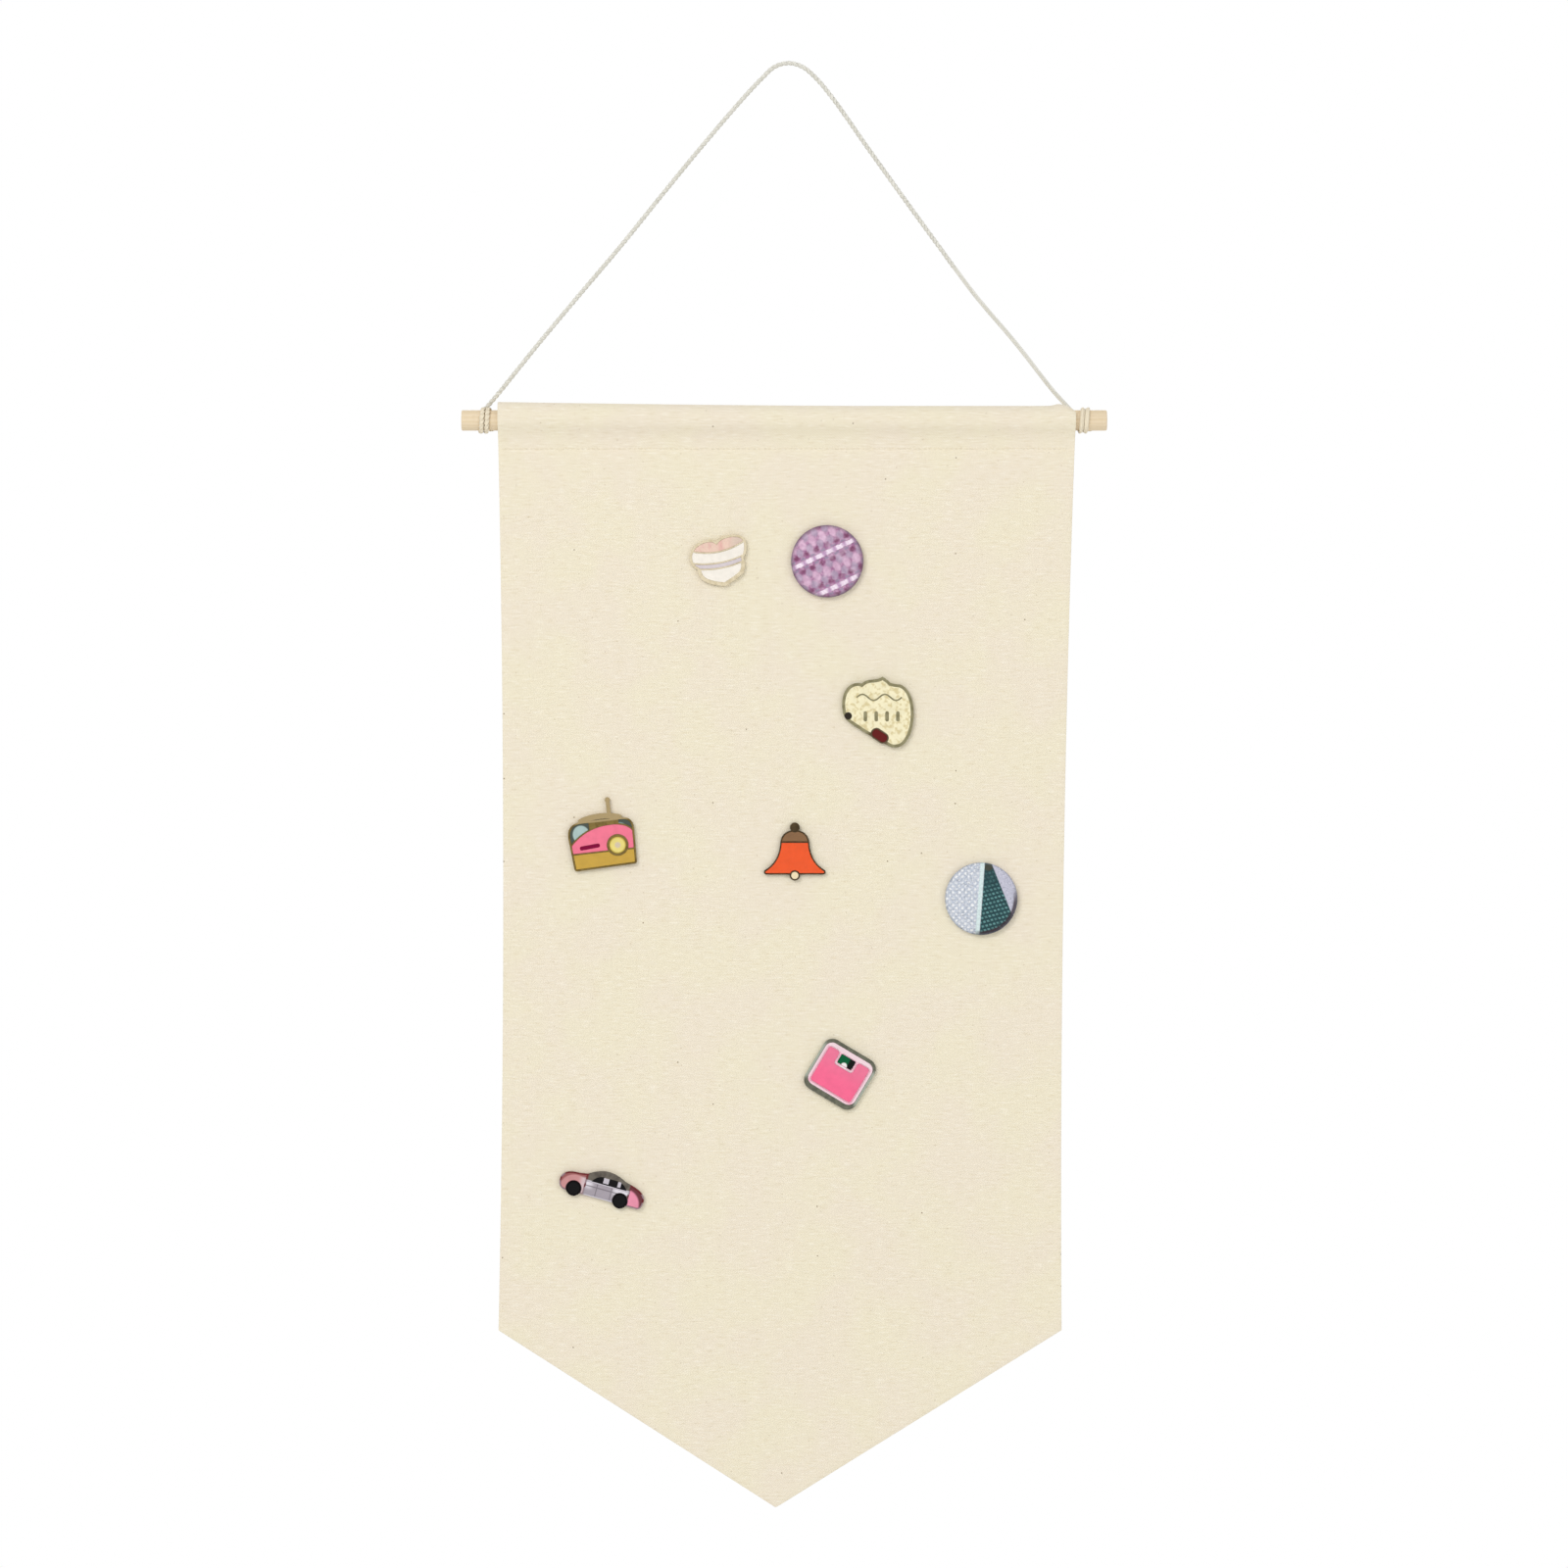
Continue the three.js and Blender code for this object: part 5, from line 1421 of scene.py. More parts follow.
for share in (step / WAVE_STEPS for step in range(WAVE_STEPS + 1)):
    height = WAVE_Y + WAVE_RISE * math.sin(4 * math.pi * share)
    wave_line.append(Vector((lerp(-WAVE_HALF, WAVE_HALF, share), height)))
print("bubble outline:", len(bubble_edge), "points")


# %% Colours of the bubble
def tan_lumps(sheet, across, up, tone):
    lumps = sheet.noise(sheet.add("ShaderNodeCombineXYZ", {}, {0: across, 1: up}), 0.42, 2)
    return sheet.mix(lumps.fade(0.46, 0.64) * 0.75, tone, paint(212, 194, 138))


def dark_stud(sheet, across, up, tone):
    tone = sheet.mix(away_from(across, up, *STUD_AT).fade(2.0, 1.5), tone, paint(52, 46, 40))
    return sheet.mix(away_from(across, up, *PATCH_AT).fade(5.6, 4.2) * 0.7, tone, paint(70, 44, 36))


OLIVE_PLATE = plating_finish("olive_plate", (150, 144, 112), (126, 120, 90), "bubble", dark_stud)
make_pin("bubble", OLIVE_PLATE, [bubble_edge, patch_frame, stud], [
    Cell("face", (250, 241, 203), [inset(bubble_edge, BUBBLE_RIM)],
         [patch_frame, stud, *bars, ribbon(wave_line, PIN_RIM)], tan_lumps),
    Cell("patch", (104, 30, 28), [patch]),
])

# %% [markdown]
# ## Radio
# A small radio with a handle, an aerial, a dial and two corner windows. Handle and aerial are plates that
# are joined to the case. The curved line between face and windows is one loop, the brow: the face lies
# inside it, and the windows lie outside the same loop widened by a rim.

# %% Outline and lines of the radio
RADIO_RIM = 1.4 * PIN_RIM
radio_edge = outline(
    (-12.6, -11.4), (13.6, -10.8), (14.9, -10.7, 14.9, -9.6), (15.3, 5.6), (15.3, 11.0, 10.2, 11.2),
    (-9.0, 11.2), (-15.4, 10.8, -15.5, 4.6), (-14.3, -10.2), (-14.2, -11.4, -12.6, -11.4))
radio_field = inset(radio_edge, RADIO_RIM)
handle_line = [Vector(at[:2]) for at in interpolate_bezier(
    Vector((-9.6, 10.8)), Vector((-6.0, 13.4)), Vector((6.0, 13.6)), Vector((9.8, 10.9)), 24)]
WAIST = -3.3
DIAL_X, DIAL_Y, DIAL_RADIUS = 6.9, -1.3, 3.9
dial_ring = circle(DIAL_X, DIAL_Y, DIAL_RADIUS + 1.1)
brow = outline(
    (-WIDE, WAIST), (WIDE, WAIST), (WIDE, 4.6), (14.4, 4.8), (11.5, 8.6, 4, 8.4), (-7, 8.2, -14.6, 0.2),
    (-WIDE, 0.2))
over_brow = inset(brow, -PIN_RIM)
slot_loop = rounded(9.3, 1.7, 0.8, -6.0, -0.8, 4)
print("radio outline:", len(radio_edge), "points")


# %% Colours of the radio
def tan_handle(sheet, across, up, tone):
    tone = sheet.mix(up.fade(9.9, 10.7), tone, paint(170, 150, 110))
    slot = within(across, -11.2, -0.8) * within(up, -2.4, 0.8)
    return sheet.mix(slot, tone, paint(128, 22, 60))


def dark_corner(sheet, across, up, tone):
    """A thick dark line along the outer corner of each window."""
    left = away_from(across, up, -9.4, 5.4, 4.1, 4.4).fade(0.85, 1.0)
    right = away_from(across, up, 8.5, 4.6, 4.4, 4.8).fade(0.85, 1.0)
    return sheet.mix(left.maths("MINIMUM", left, right), tone, paint(62, 72, 62))


def pale_hub(sheet, across, up, tone):
    away = away_from(across, up, DIAL_X, DIAL_Y)
    tone = sheet.mix(away.fade(2.9, 3.7), tone, paint(204, 178, 70))
    return sheet.mix(away.fade(1.8, 0.9) * 0.8, tone, paint(206, 190, 178))


GOLD_PLATE = plating_finish("old_gold_plate", (134, 114, 66), (108, 90, 50), "radio", tan_handle)
make_pin("radio", GOLD_PLATE, [
    radio_edge, ribbon(handle_line, 2.6), rectangle(3.6, 12, 5.4, 20.0), circle(4.5, 20.0, 1.2),
], [
    Cell("face", (246, 118, 146), [radio_field, brow], [dial_ring, slot_loop]),
    Cell("skirt", (202, 162, 58),
         [radio_field, rectangle(-WIDE, -WIDE, WIDE, WAIST - PIN_RIM)], [dial_ring]),
    # The left window is paler than the right one: the same teal, with painted highlight.
    Cell("window_left", (172, 196, 192),
         [radio_field, rectangle(-WIDE, WAIST, -5.4, WIDE)], [over_brow], dark_corner),
    Cell("window_right", (140, 168, 166),
         [radio_field, rectangle(8.4, WAIST, WIDE, WIDE)], [over_brow], dark_corner),
    Cell("dial", (238, 220, 126), [circle(DIAL_X, DIAL_Y, DIAL_RADIUS)], (), pale_hub),
])

# %% [markdown]
# ## Bell
# A hand bell with a ring on top and a clapper below. Its outline is drawn once in round numbers and then
# sized to the solid, so the rim is divided by the same factor and comes out as wide as on other pins.

# %% Bell
bell_edge = outline(
    (-13.0, -10.8), (13.0, -10.8), (14.4, -10.4, 13.8, -9.0), (9.0, -6.0, 7.0, -2.0, 6.6, 3.4),
    (6.4, 7.4, 3.6, 9.4, 0, 9.4), (-3.6, 9.4, -6.4, 7.4, -6.6, 3.4), (-7.0, -2.0, -9.0, -6.0, -13.8, -9.0),
    (-14.4, -10.4, -13.0, -10.8))
BELL_UNIT = 28.5 / 27.9  # its width, and the width that is drawn
SHOULDER = 4.2
CLAPPER_Y, CLAPPER_RADIUS = -11.2, 1.7


def sized(loop):
    """The bell is drawn a little smaller than it is."""
    return [at * BELL_UNIT for at in loop]


bell_rim = PIN_RIM / BELL_UNIT
bell_field = sized(inset(bell_edge, bell_rim))
bell_ring = sized(circle(0, 10.6, 2.2))
clapper_ring = sized(circle(0, CLAPPER_Y, CLAPPER_RADIUS + bell_rim))
BROWN_PLATE = plating_finish("brown_plate", (84, 70, 50), (58, 48, 34))
make_pin("bell", BROWN_PLATE, [sized(bell_edge), bell_ring, clapper_ring], [
    Cell("skirt", (242, 84, 14),
         [bell_field, sized(rectangle(-WIDE, -WIDE, WIDE, SHOULDER - bell_rim))], [clapper_ring]),
    Cell("crown", (132, 94, 56), [bell_field, sized(rectangle(-WIDE, SHOULDER, WIDE, WIDE))], [bell_ring]),
    Cell("clapper", (244, 226, 184), [sized(circle(0, CLAPPER_Y, CLAPPER_RADIUS))]),
])

# %% [markdown]
# ## Bathroom scale
# A square scale with a pink plate, a pale border and a small window in a notch of the plate. Border, plate
# and window are cells with thin lines of metal between them. The two halves of the window, its pointer
# and the pink that has run into the border are painted, because no metal parts them.

# %% Outline and lines of the scale
LINE = 0.3
PLATE_SIDE, PLATE_TOP, PLATE_BOTTOM = 10.8, 9.0, -9.1
NOTCH_LEFT, NOTCH_RIGHT, NOTCH_BOTTOM = -5.2, 4.6, 2.9


def rounded_polygon(corners, radius):
    """A polygon with its corners rounded off."""
    corners = [Vector(corner) for corner in corners]
    strokes = []
    for before, corner, after in zip(corners[-1:] + corners, corners, corners[1:] + corners[:1]):
        start = corner + (before - corner).normalized() * radius
        end = corner + (after - corner).normalized() * radius
        strokes += [tuple(start), (*corner, *end)]
    return outline(strokes[0], *strokes[1:])


scale_field = rounded(25.0, 22.0, 3.6, 0, 0.35)
scale_plate = rounded_polygon([
    (-PLATE_SIDE, PLATE_BOTTOM), (PLATE_SIDE, PLATE_BOTTOM), (PLATE_SIDE, PLATE_TOP),
    (NOTCH_RIGHT, PLATE_TOP), (NOTCH_RIGHT, NOTCH_BOTTOM), (NOTCH_LEFT, NOTCH_BOTTOM),
    (NOTCH_LEFT, PLATE_TOP), (-PLATE_SIDE, PLATE_TOP),
], 1.6)
scale_glass = rounded(7.6, 4.6, 0.6, -0.3, 6.4)
print("scale plate:", len(scale_plate), "points")


# %% Colours of the scale
def window_halves(sheet, across, up, tone):
    """A green left half and a black right half, with a pale pointer that stands on the lower edge."""
    tone = sheet.mix(across.fade(0.2, 1.2), paint(0, 92, 54), paint(10, 14, 12))
    pointer = away_from(across, up, -0.5, 4.2, 1.5, 1.6).fade(1.1, 0.8)
    return sheet.mix(pointer, tone, paint(244, 240, 238))


def paler_towards_top(sheet, across, up, tone):
    # The plate is paler and duller towards its top.
    return sheet.mix(up.fade(-5.0, 8.0) * 0.5, tone, paint(226, 128, 156))


def pink_inner(sheet, across, up, tone):
    """The border takes some pink next to the plate, and stays pale round the window."""
    near = within(across, -11.5, 11.5, 0.4) * within(up, -9.9, 9.0, 0.4)
    frame_pale = within(across, -4.6, 4.0, 0.5) * up.fade(2.2, 2.8)
    tone = sheet.mix(near * (1.0 - frame_pale) * 0.6, tone, paint(248, 148, 182))
    return sheet.mix(away_from(across, up, -0.5, 3.7, 1.6, 1.2).fade(1.2, 0.8), tone, paint(255, 252, 252))


def rim_highlight_and_lines(sheet, across, up, tone):
    """The rim is paler at its sides, a painted highlight, and the fine lines inside it take the colour of the
    border.
    """
    # Painted highlight on the sides of the rim.
    sides = abs(across).fade(12.2, 12.9) * abs(up).fade(10.5, 7.5)
    tone = sheet.mix(sides * 0.85, tone, paint(172, 178, 164))
    past_side = across.maths("MAXIMUM", abs(across) - 8.8, 0.0)
    past_end = up.maths("MAXIMUM", abs(up - 0.35) - 7.35, 0.0)
    inside = away_from(past_side, past_end, 0, 0).fade(3.5, 3.2)
    return sheet.mix(inside, tone, paint(232, 184, 198))


DARK_PLATE = plating_finish("dark_plate", (114, 114, 100), (94, 95, 83), "scale", rim_highlight_and_lines)
make_pin("scale", DARK_PLATE, [rounded(27.4, 26.0, 4.8)], [
    Cell("border", (245, 218, 225), [scale_field], [inset(scale_plate, -LINE), inset(scale_glass, -LINE)],
         pink_inner),
    Cell("plate", (252, 104, 147), [scale_plate], (), paler_towards_top),
    Cell("window", (12, 60, 42), [scale_glass], (), window_halves),
])

# %% [markdown]
# ## Car
# A long low car with round arches over its wheels. Each tyre is a plate of its own with a black fill, and
# the arches are islands in the fills round them. Body, doors and windows are cells between upright and
# level lines. Gaps, trim and the paler metal of the pillars are painted, since they are thinner than a rim.

# %% Outline and lines of the car
car_edge = outline(
    (-19.8, -1.4), (-20.4, 2.6, -17.2, 4.6, -12.5, 4.6), (-9.6, 4.8, -7.6, 5.4), (-3.2, 8.4, 1.0, 8.6),
    (5.6, 8.6, 9.8, 6.2), (14.0, 5.2, 19.8, 4.0, 20.3, 0.2), (20.6, -4.4, 18.0, -4.6), (-16.6, -4.6),
    (-19.4, -4.4, -19.8, -1.4))
car_field = inset(car_edge, PIN_RIM)
WHEEL_RADIUS, WHEEL_Y = 3.5, -3.0
WHEELS = {"rear": -12.6, "front": 9.6}
tyres = [circle(x, WHEEL_Y, WHEEL_RADIUS) for x in WHEELS.values()]
arches = [circle(x, WHEEL_Y, WHEEL_RADIUS + 0.2) for x in WHEELS.values()]
TAIL_DOOR, NOSE_DOOR, SILL = -8.2, 13.0, 2.3
PAST_CAR = 30  # out past both ends of the car
PILLARS = [(-0.1, 2.5), (6.7, 8.2)]
car_glass = outline(
    (-5.4, SILL), (11.4, SILL), (9.6, 5.4, 6.4, 5.6), (-0.6, 5.6), (-3.6, 5.2, -5.4, SILL))
below_sill = rectangle(-WIDE, -WIDE, WIDE, SILL - 0.5)


def upright_band(left, right):
    return rectangle(left, -WIDE, right, WIDE)


print("car outline:", len(car_edge), "points")


# %% Colours of the car
def car_lines(sheet, across, up, tone):
    """Dark roof, maroon lines at both ends, pale pillars and lower edge, black round the wheels."""
    ends = abs(across - 2.6).fade(9.4, 10.6)
    tone = sheet.mix(ends, tone, paint(112, 44, 48))
    pale = up.fade(-0.4, -1.6) + within(up, 0.8, 2.6)
    for left, right in PILLARS:
        pale = pale + within(across, left, right) * within(up, 2.2, 5.4)
    tone = sheet.mix(pale.fade(0.2, 0.8) * (1.0 - ends * 0.6), tone, paint(196, 190, 198))
    for x in WHEELS.values():
        tone = sheet.mix(away_from(across, up, x, WHEEL_Y).fade(3.8, 3.5), tone, paint(24, 20, 22))
    return tone


def door_lines_and_highlight(sheet, across, up, tone):
    """Two upright gaps and a trim line on grey sides, with painted highlight making them paler towards the
    wheels.
    """
    tone = sheet.mix(abs(across - 0.4).fade(3.5, 6.5) * up.fade(-2.5, 0.5), tone, paint(226, 220, 228))
    lines = within(across, -2.5, -2.0) + within(across, 4.4, 4.9) + within(up, -0.3, 0.3)
    return sheet.mix(lines.fade(0.0, 1.0) * 0.75, tone, paint(112, 104, 112))


def maroon_tip(sheet, across, up, tone):
    edge = away_from(across, up, 11.6, -4.0, 8.6, 8.6)
    return sheet.mix(edge.fade(0.76, 0.9), tone, paint(98, 28, 38))


def tail_arch_and_highlight(sheet, across, up, tone):
    edge = away_from(across, up, -12.2, -3.6, 7.6, 7.6)
    tone = sheet.mix(edge.fade(0.88, 0.98) * 0.85, tone, paint(140, 70, 66))
    # Painted highlight: the tail pales next to the doors, over the rear wheel.
    return sheet.mix(across.fade(-11.8, -9.0) * up.fade(3.8, 2.6) * 0.75, tone, paint(218, 202, 206))


BLACK_PLATE = plating_finish("black_plate", (112, 106, 97), (86, 80, 74), "car", car_lines)
make_pin("car", BLACK_PLATE, [car_edge, *tyres], [
    Cell("tail", (204, 142, 142), [car_field, upright_band(-PAST_CAR, TAIL_DOOR)], arches, tail_arch_and_highlight),
    Cell("doors", (166, 157, 166),
         [car_field, upright_band(TAIL_DOOR + PIN_RIM, NOSE_DOOR - PIN_RIM), below_sill], arches,
         door_lines_and_highlight),
    Cell("nose", (238, 146, 172), [car_field, upright_band(NOSE_DOOR, PAST_CAR)], arches, maroon_tip),
    Cell("glass", (14, 13, 15), [car_field, car_glass],
         [rectangle(left, SILL + 0.6, right, 9) for left, right in PILLARS]),
    *[Cell(f"wheel_{end}", (12, 10, 12), [circle(x, WHEEL_Y, WHEEL_RADIUS - PIN_RIM)])
      for end, x in WHEELS.items()],
], posts=(-CAR_POST_OFFSET, CAR_POST_OFFSET))

# %% [markdown]
# ## Cloth-covered buttons
# The two round badges are covered buttons: a scrap of cloth drawn over a domed tin shell and turned in
# at the back, a tin disc that closes it, and a post. A spun profile gives the smooth cover, and its
# cloth is drawn by nodes in millimetres from the button's middle.

# %% Cover and back
BUTTON_RADIUS = 16.75
BUTTON_SKIRT = 1.9
BUTTON_RISE = 3.0
BUTTON_COVER = 0.5
BUTTON_LIP = 2.2
BUTTON_SIDES = 96
DOME_STEPS = 18
DISC_RADIUS, DISC_LOW, DISC_HIGH = 15.55, 0.65, 1.25
DISC_SIDES = 64
DISC_EDGE = 0.15


def dome_line(radius, height, rise):
    """Part of a ball, as a profile from its rim to its top."""
    ball = (radius * radius + rise * rise) / (2 * rise)
    line = []
    for i in range(DOME_STEPS + 1):
        at = radius * (1 - i / DOME_STEPS)
        line.append((at, height + math.sqrt(ball * ball - at * at) - (ball - rise)))
    return line


def make_button(name, cloth):
    """A cloth cover, a tin back with its post, and tin on the pressed shell between them."""
    place = badge_place(name)
    inner = BUTTON_RADIUS - BUTTON_COVER
    turned_in = BUTTON_RADIUS - BUTTON_LIP
    cover = spun([
        *dome_line(inner, BUTTON_SKIRT, BUTTON_RISE - BUTTON_COVER)[::-1], (inner, BUTTON_COVER),
        (turned_in, BUTTON_COVER), (turned_in, 0.1), (turned_in + 0.1, 0), (BUTTON_RADIUS - 0.5, 0),
        (BUTTON_RADIUS - 0.15, 0.15), (BUTTON_RADIUS, 0.5),
        *dome_line(BUTTON_RADIUS, BUTTON_SKIRT, BUTTON_RISE),
    ], BUTTON_SIDES)
    dress(finished(f"{name}_cloth_cover", cover, place), cloth, f"{name}_cover")
    disc = spun([
        (0, DISC_LOW), (DISC_RADIUS - DISC_EDGE, DISC_LOW), (DISC_RADIUS, DISC_LOW + DISC_EDGE),
        (DISC_RADIUS, DISC_HIGH), (0, DISC_HIGH),
    ], DISC_SIDES)
    back = combined(disc, [post(base=DISC_LOW)], "UNION")
    dress(finished(f"{name}_tin_back", back, place), TIN, f"{name}_back")
    shell = frame["nodes"][f"{name}_shell"]
    shell.data.materials.clear()
    shell.data.materials.append(TIN)
    print(name, "button made")


print("buttons:", 2 * BUTTON_RADIUS, "mm across")

# %% [markdown]
# ## Tweed
# A woven cloth of lilac wool: pale braids run aslant, and between two braids lie a row of ovals and rows
# of grey checks and dark knots. Two distances that run back and forth, one across the braids and one
# along them, fold the whole cloth onto one small patch, and everything is drawn there once. Noise in both
# makes the wool stray, so no two patches look alike.

# %% Cloth of the tweed button
BRAID_LEAN = math.radians(25.4)
BRAID_HALF, BEAT_HALF = 7.95, 2.55  # half of the pattern's repeat, across the braids and along them
BRAID_SHIFT, BEAT_SHIFT = -3.6, 2.2


def tweed_finish():
    sheet = new_finish("bouclette_tweed")
    across, up, at = badge_plane(sheet, "tweed")
    level, upright = math.cos(BRAID_LEAN), math.sin(BRAID_LEAN)
    fuzz = sheet.noise(at, 0.7, 3) - 0.5
    fibre = sheet.stretched(at, (0.9, 1, 2.6), 3, rotation=(0, BRAID_LEAN, 0))
    along = across * level + up * upright + 1.8 * fuzz
    over = up * level - across * upright + 1.4 * fuzz
    from_braid = (over + BRAID_SHIFT).back_and_forth(BRAID_HALF)
    beat = (along + BEAT_SHIFT).back_and_forth(BEAT_HALF)
    oval = away_from(beat, from_braid, 0, BRAID_HALF, 1.8, 2.7).fade(1.25, 0.65)
    check = away_from(beat, from_braid, BEAT_HALF, 5.0, 1.7, 2.2).fade(1.3, 0.6)
    knot = away_from(beat, from_braid, 0, 3.4, 1.6, 1.3).fade(1.3, 0.5)
    braid = from_braid.fade(1.35, 0.9)
    plait = (along + 0.4 * over).wave(1.55)
    dash = braid * beat.fade(2.5, 0.9)
    worn = sheet.noise(at, 0.33, 2).fade(0.3, 0.6)
    lighter = sheet.noise(at, 0.2, 2).fade(0.48, 0.68)
    tone = sheet.mix(fuzz.fade(-0.1, 0.15), paint(164, 108, 150), paint(198, 152, 184))
    tone = sheet.mix(check * 0.65, tone, paint(176, 164, 186))
    tone = sheet.mix(knot * (0.45 + 0.45 * worn), tone, paint(116, 50, 90))
    tone = sheet.mix(oval * (0.95 - 0.4 * worn), tone, paint(230, 192, 218))
    tone = sheet.mix(braid, tone, paint(192, 152, 192))
    tone = sheet.mix(dash * (0.75 + 0.25 * abs(plait)), tone, paint(255, 238, 252))
    tone = sheet.mix(lighter * 0.35, tone, paint(230, 204, 226))
    beside = within(from_braid, 1.5, 2.5, 0.3) * beat.fade(1.0, 1.8)
    tone = sheet.mix(beside * 0.7, tone, paint(142, 140, 162))
    tone = sheet.mix(fibre.fade(0.58, 0.8) * 0.3, tone, paint(250, 232, 246))
    # Painted shade: the cloth darkens towards the rim, where it turns down round the dome.
    away = away_from(across, up, 0, 0)
    tone = sheet.mix(away.fade(14.8, 16.8) * 0.7, tone, paint(104, 78, 96))
    relief = 0.6 * oval + 0.4 * braid + 0.6 * dash + 0.5 * fibre
    return sheet.close({
        "Base Color": tone, "Roughness": 0.9, "Sheen Weight": 0.3,
        "Normal": sheet.bump(relief, 0.5 * MM, 0.9),
    })


make_button("tweed", tweed_finish())

# %% [markdown]
# ## Knit
# A knitted cloth of blocks of colour: a pale part with raised dots, a pale seam, a teal wedge with dashes and
# a lilac part. The product of two slanting waves gives a lattice of dots. The blocks are parted by where a
# point lies beside two straight lines, and a darker edge of painted shade shows where the cloth turns round
# the rim.


# %% Cloth of the knit button
def knit_finish():
    sheet = new_finish("block_colour_knit")
    across, up, at = badge_plane(sheet, "knit")
    fuzz = sheet.noise(at, 1.6, 3)
    stray = 1.3 * (sheet.noise(at, 0.8, 2) - 0.5)
    dots = abs((across + up + stray).wave(2.9) * (across - up + stray).wave(2.9)).fade(0.35, 0.8)
    pale = sheet.mix(fuzz.fade(0.4, 0.62), paint(188, 197, 212), paint(214, 218, 228))
    strength = sheet.noise(at, 0.45, 2).fade(0.3, 0.6)
    pale = sheet.mix(dots * (0.35 + 0.6 * strength), pale, paint(252, 253, 255))
    specks = sheet.noise(at, 1.1, 1).fade(0.57, 0.66)
    pale = sheet.mix(specks * 0.6, pale, paint(150, 158, 172))
    rows = abs((up - 0.25 * across).wave(2.0)).fade(0.5, 0.95)
    dashes = rows * abs((across + 0.6 * up).wave(2.0)).fade(0.3, 0.8)
    lower = up.fade(9.0, 1.0)
    teal = sheet.mix(fuzz.fade(0.4, 0.65), paint(10, 54, 60), paint(22, 74, 79))
    teal = sheet.mix(dashes * (0.25 + 0.55 * lower) * (0.5 + 0.5 * strength), teal, paint(110, 166, 166))
    teal = sheet.mix(away_from(across, up, 3.3, 14.6, 2.3, 1.8).fade(1.1, 0.7), teal, paint(58, 62, 50))
    lilac = sheet.mix(fuzz.fade(0.35, 0.7), paint(192, 192, 210), paint(212, 211, 227))
    seam = across - (0.35 + 0.075 * up)
    wedge = across - (11.3 - 0.4 * up)
    tone = sheet.mix(seam.fade(-0.2, 0.2), pale, teal)
    tone = sheet.mix(wedge.fade(-0.25, 0.25), tone, lilac)
    tone = sheet.mix(within(seam, -1.9, -0.1, 0.4), tone, paint(222, 240, 240))
    # Painted shade: darker towards the rim, where the cloth turns away, most at the lower right, and greyer
    # at the very edge.
    away = away_from(across, up, 0, 0)
    low_right = (across - up).fade(9.0, 18.0)
    tone = sheet.mix(away.fade(14.3, 15.5) * low_right * 0.9, tone, paint(50, 28, 40))
    tone = sheet.mix(away.fade(15.6, 16.8) * 0.3, tone, paint(120, 132, 148))
    relief = dots + dashes + 0.6 * fuzz
    return sheet.close({
        "Base Color": tone, "Roughness": 0.88, "Sheen Weight": 0.25,
        "Normal": sheet.bump(relief, 0.25 * MM, 0.8),
    })


make_button("knit", knit_finish())

# %% [markdown]
# ## Clutches
# Behind the canvas, a butterfly clutch grips each post: a pressed brass cap and a spring strip whose two
# ears are pinched to let go. The cap is spun. The strip starts as a grid, is bent along its profile,
# gets round ears by trimming its corners in, and then a thickness.

# %% Cap and wings
CLUTCH_SEAT = -2.3  # from the back of the pin to just behind the canvas
CAP_SIDES = 48
CAP_PROFILE = [
    (0.75, 1.6), (2.4, 1.6), (2.62, 1.45), (2.9, 0.15), (3.1, 0), (5.35, 0), (5.6, 0.12), (5.7, 0.4),
    (5.62, 0.7), (5.45, 0.8), (5.25, 0.7), (5.1, 0.45), (4.9, 0.4), (3.5, 0.4), (3.35, 0.5), (2.95, 1.8),
    (2.75, 2.0), (0.75, 2.0), (0.75, 1.6),
]
WING_HALF_WIDTH = 2.5
WING_ROWS = 10
WING_NECK = 0.72  # width of the bridge, as a share of the ears'
NECK_FROM, NECK_TO = 0.2, 1.6  # heights over the bridge, between which the neck widens
EAR_FROM, EAR_TO = 2.4, 5.2  # and between which the ears round off
WING_SHEET = 0.4
WING_HOLE = 0.75
BRIDGE = 2.32
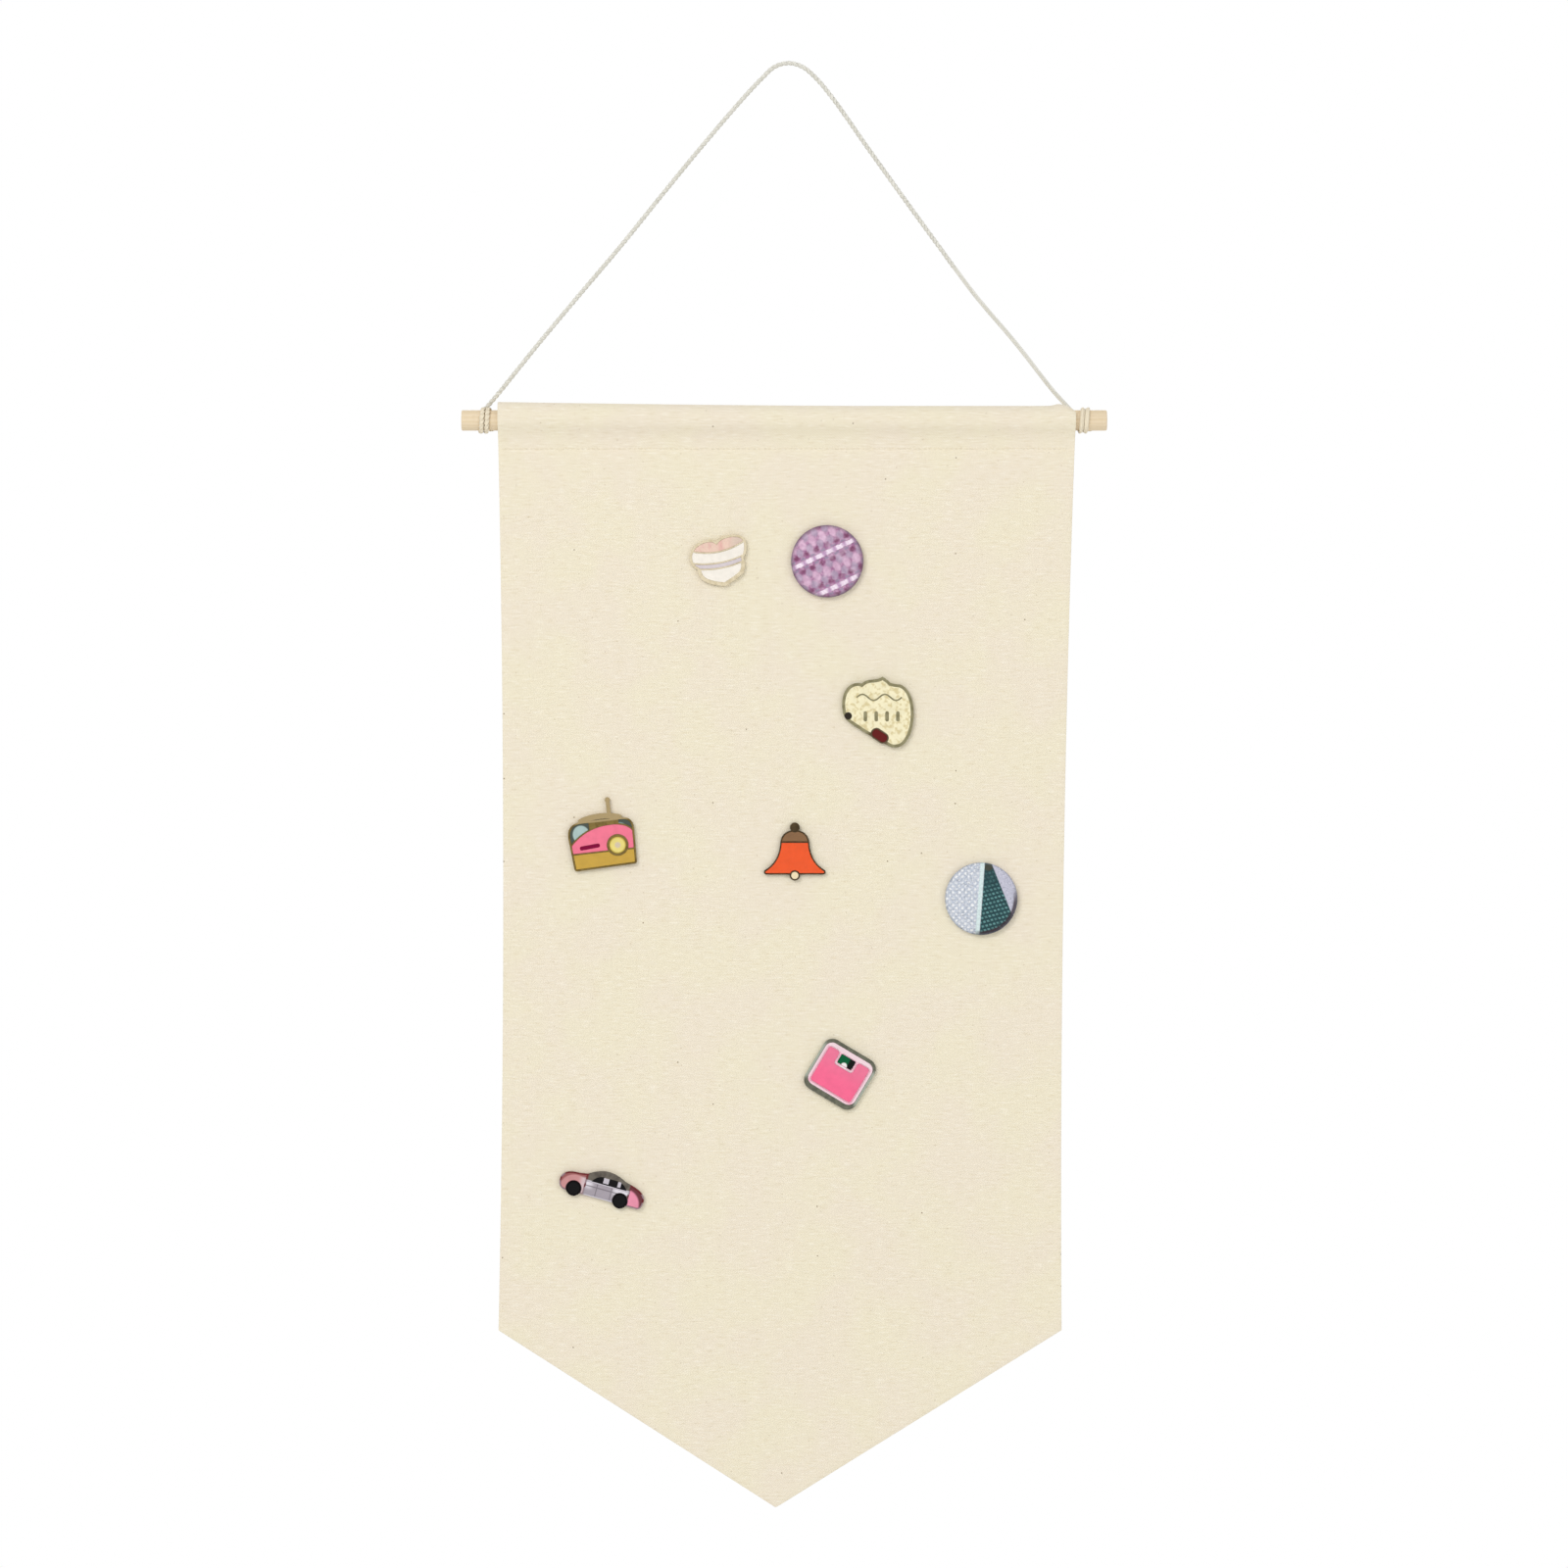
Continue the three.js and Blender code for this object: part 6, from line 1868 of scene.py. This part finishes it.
WING_LINE = [
    (0.0, 0.0), (1.35, 0.0), (2.7, 0.0), (3.1, 0.18), (3.45, 0.5), (4.3, 1.45), (5.2, 2.42), (5.75, 3.4),
    (6.1, 4.2), (6.2, 4.4),
]


def make_wings():
    """A strip bent up at both ends, with round ears and a hole for the post in its bridge."""
    line = [(-x, z) for x, z in WING_LINE[:0:-1]] + WING_LINE
    mesh = bmesh.new()
    bmesh.ops.create_grid(mesh, x_segments=len(line) - 1, y_segments=WING_ROWS, size=0.5)
    for vert in mesh.verts:
        x, rise = line[round((vert.co.x + 0.5) * (len(line) - 1))]
        across = 2 * vert.co.y
        neck = lerp(WING_NECK, 1.0, smooth(NECK_FROM, NECK_TO, rise))
        round_end = math.sqrt(max(0.0, 1 - smooth(EAR_FROM, EAR_TO, rise) ** 2))
        vert.co = (x, across * WING_HALF_WIDTH * neck * round_end, BRIDGE + rise)
    middle = min(mesh.verts, key=lambda vert: vert.co.xy.length)
    ring = {vert for face in middle.link_faces for vert in face.verts} - {middle}
    for vert in ring:
        away = vert.co.xy.normalized() * WING_HOLE
        vert.co = (away.x, away.y, BRIDGE)
    bmesh.ops.delete(mesh, geom=[middle], context="VERTS")
    bmesh.ops.recalc_face_normals(mesh, faces=mesh.faces)
    bmesh.ops.solidify(mesh, geom=mesh.faces, thickness=WING_SHEET)
    lowest = min(vert.co.z for vert in mesh.verts)
    bmesh.ops.translate(mesh, verts=mesh.verts, vec=(0, 0, BRIDGE - WING_SHEET / 2 - lowest))
    return mesh


def make_clutch(name, badge, x):
    wings = Matrix.Rotation(math.radians(BADGES[badge].wings), 4, "Z")
    turn = Matrix.Rotation(math.pi, 4, "X") @ wings
    place = badge_place(badge) @ Matrix.Translation((x, 0, CLUTCH_SEAT)) @ turn
    cap = spun(CAP_PROFILE, CAP_SIDES)
    dress(finished(f"{name}_pressed_cap", cap, place), BRASS, f"{name}_clutch_cap")
    dress(finished(f"{name}_spring_wings", make_wings(), place), BRASS, f"{name}_clutch_wings")


for name, (badge, x) in POSTS.items():
    make_clutch(name, badge, x)
print("clutches:", len(POSTS))
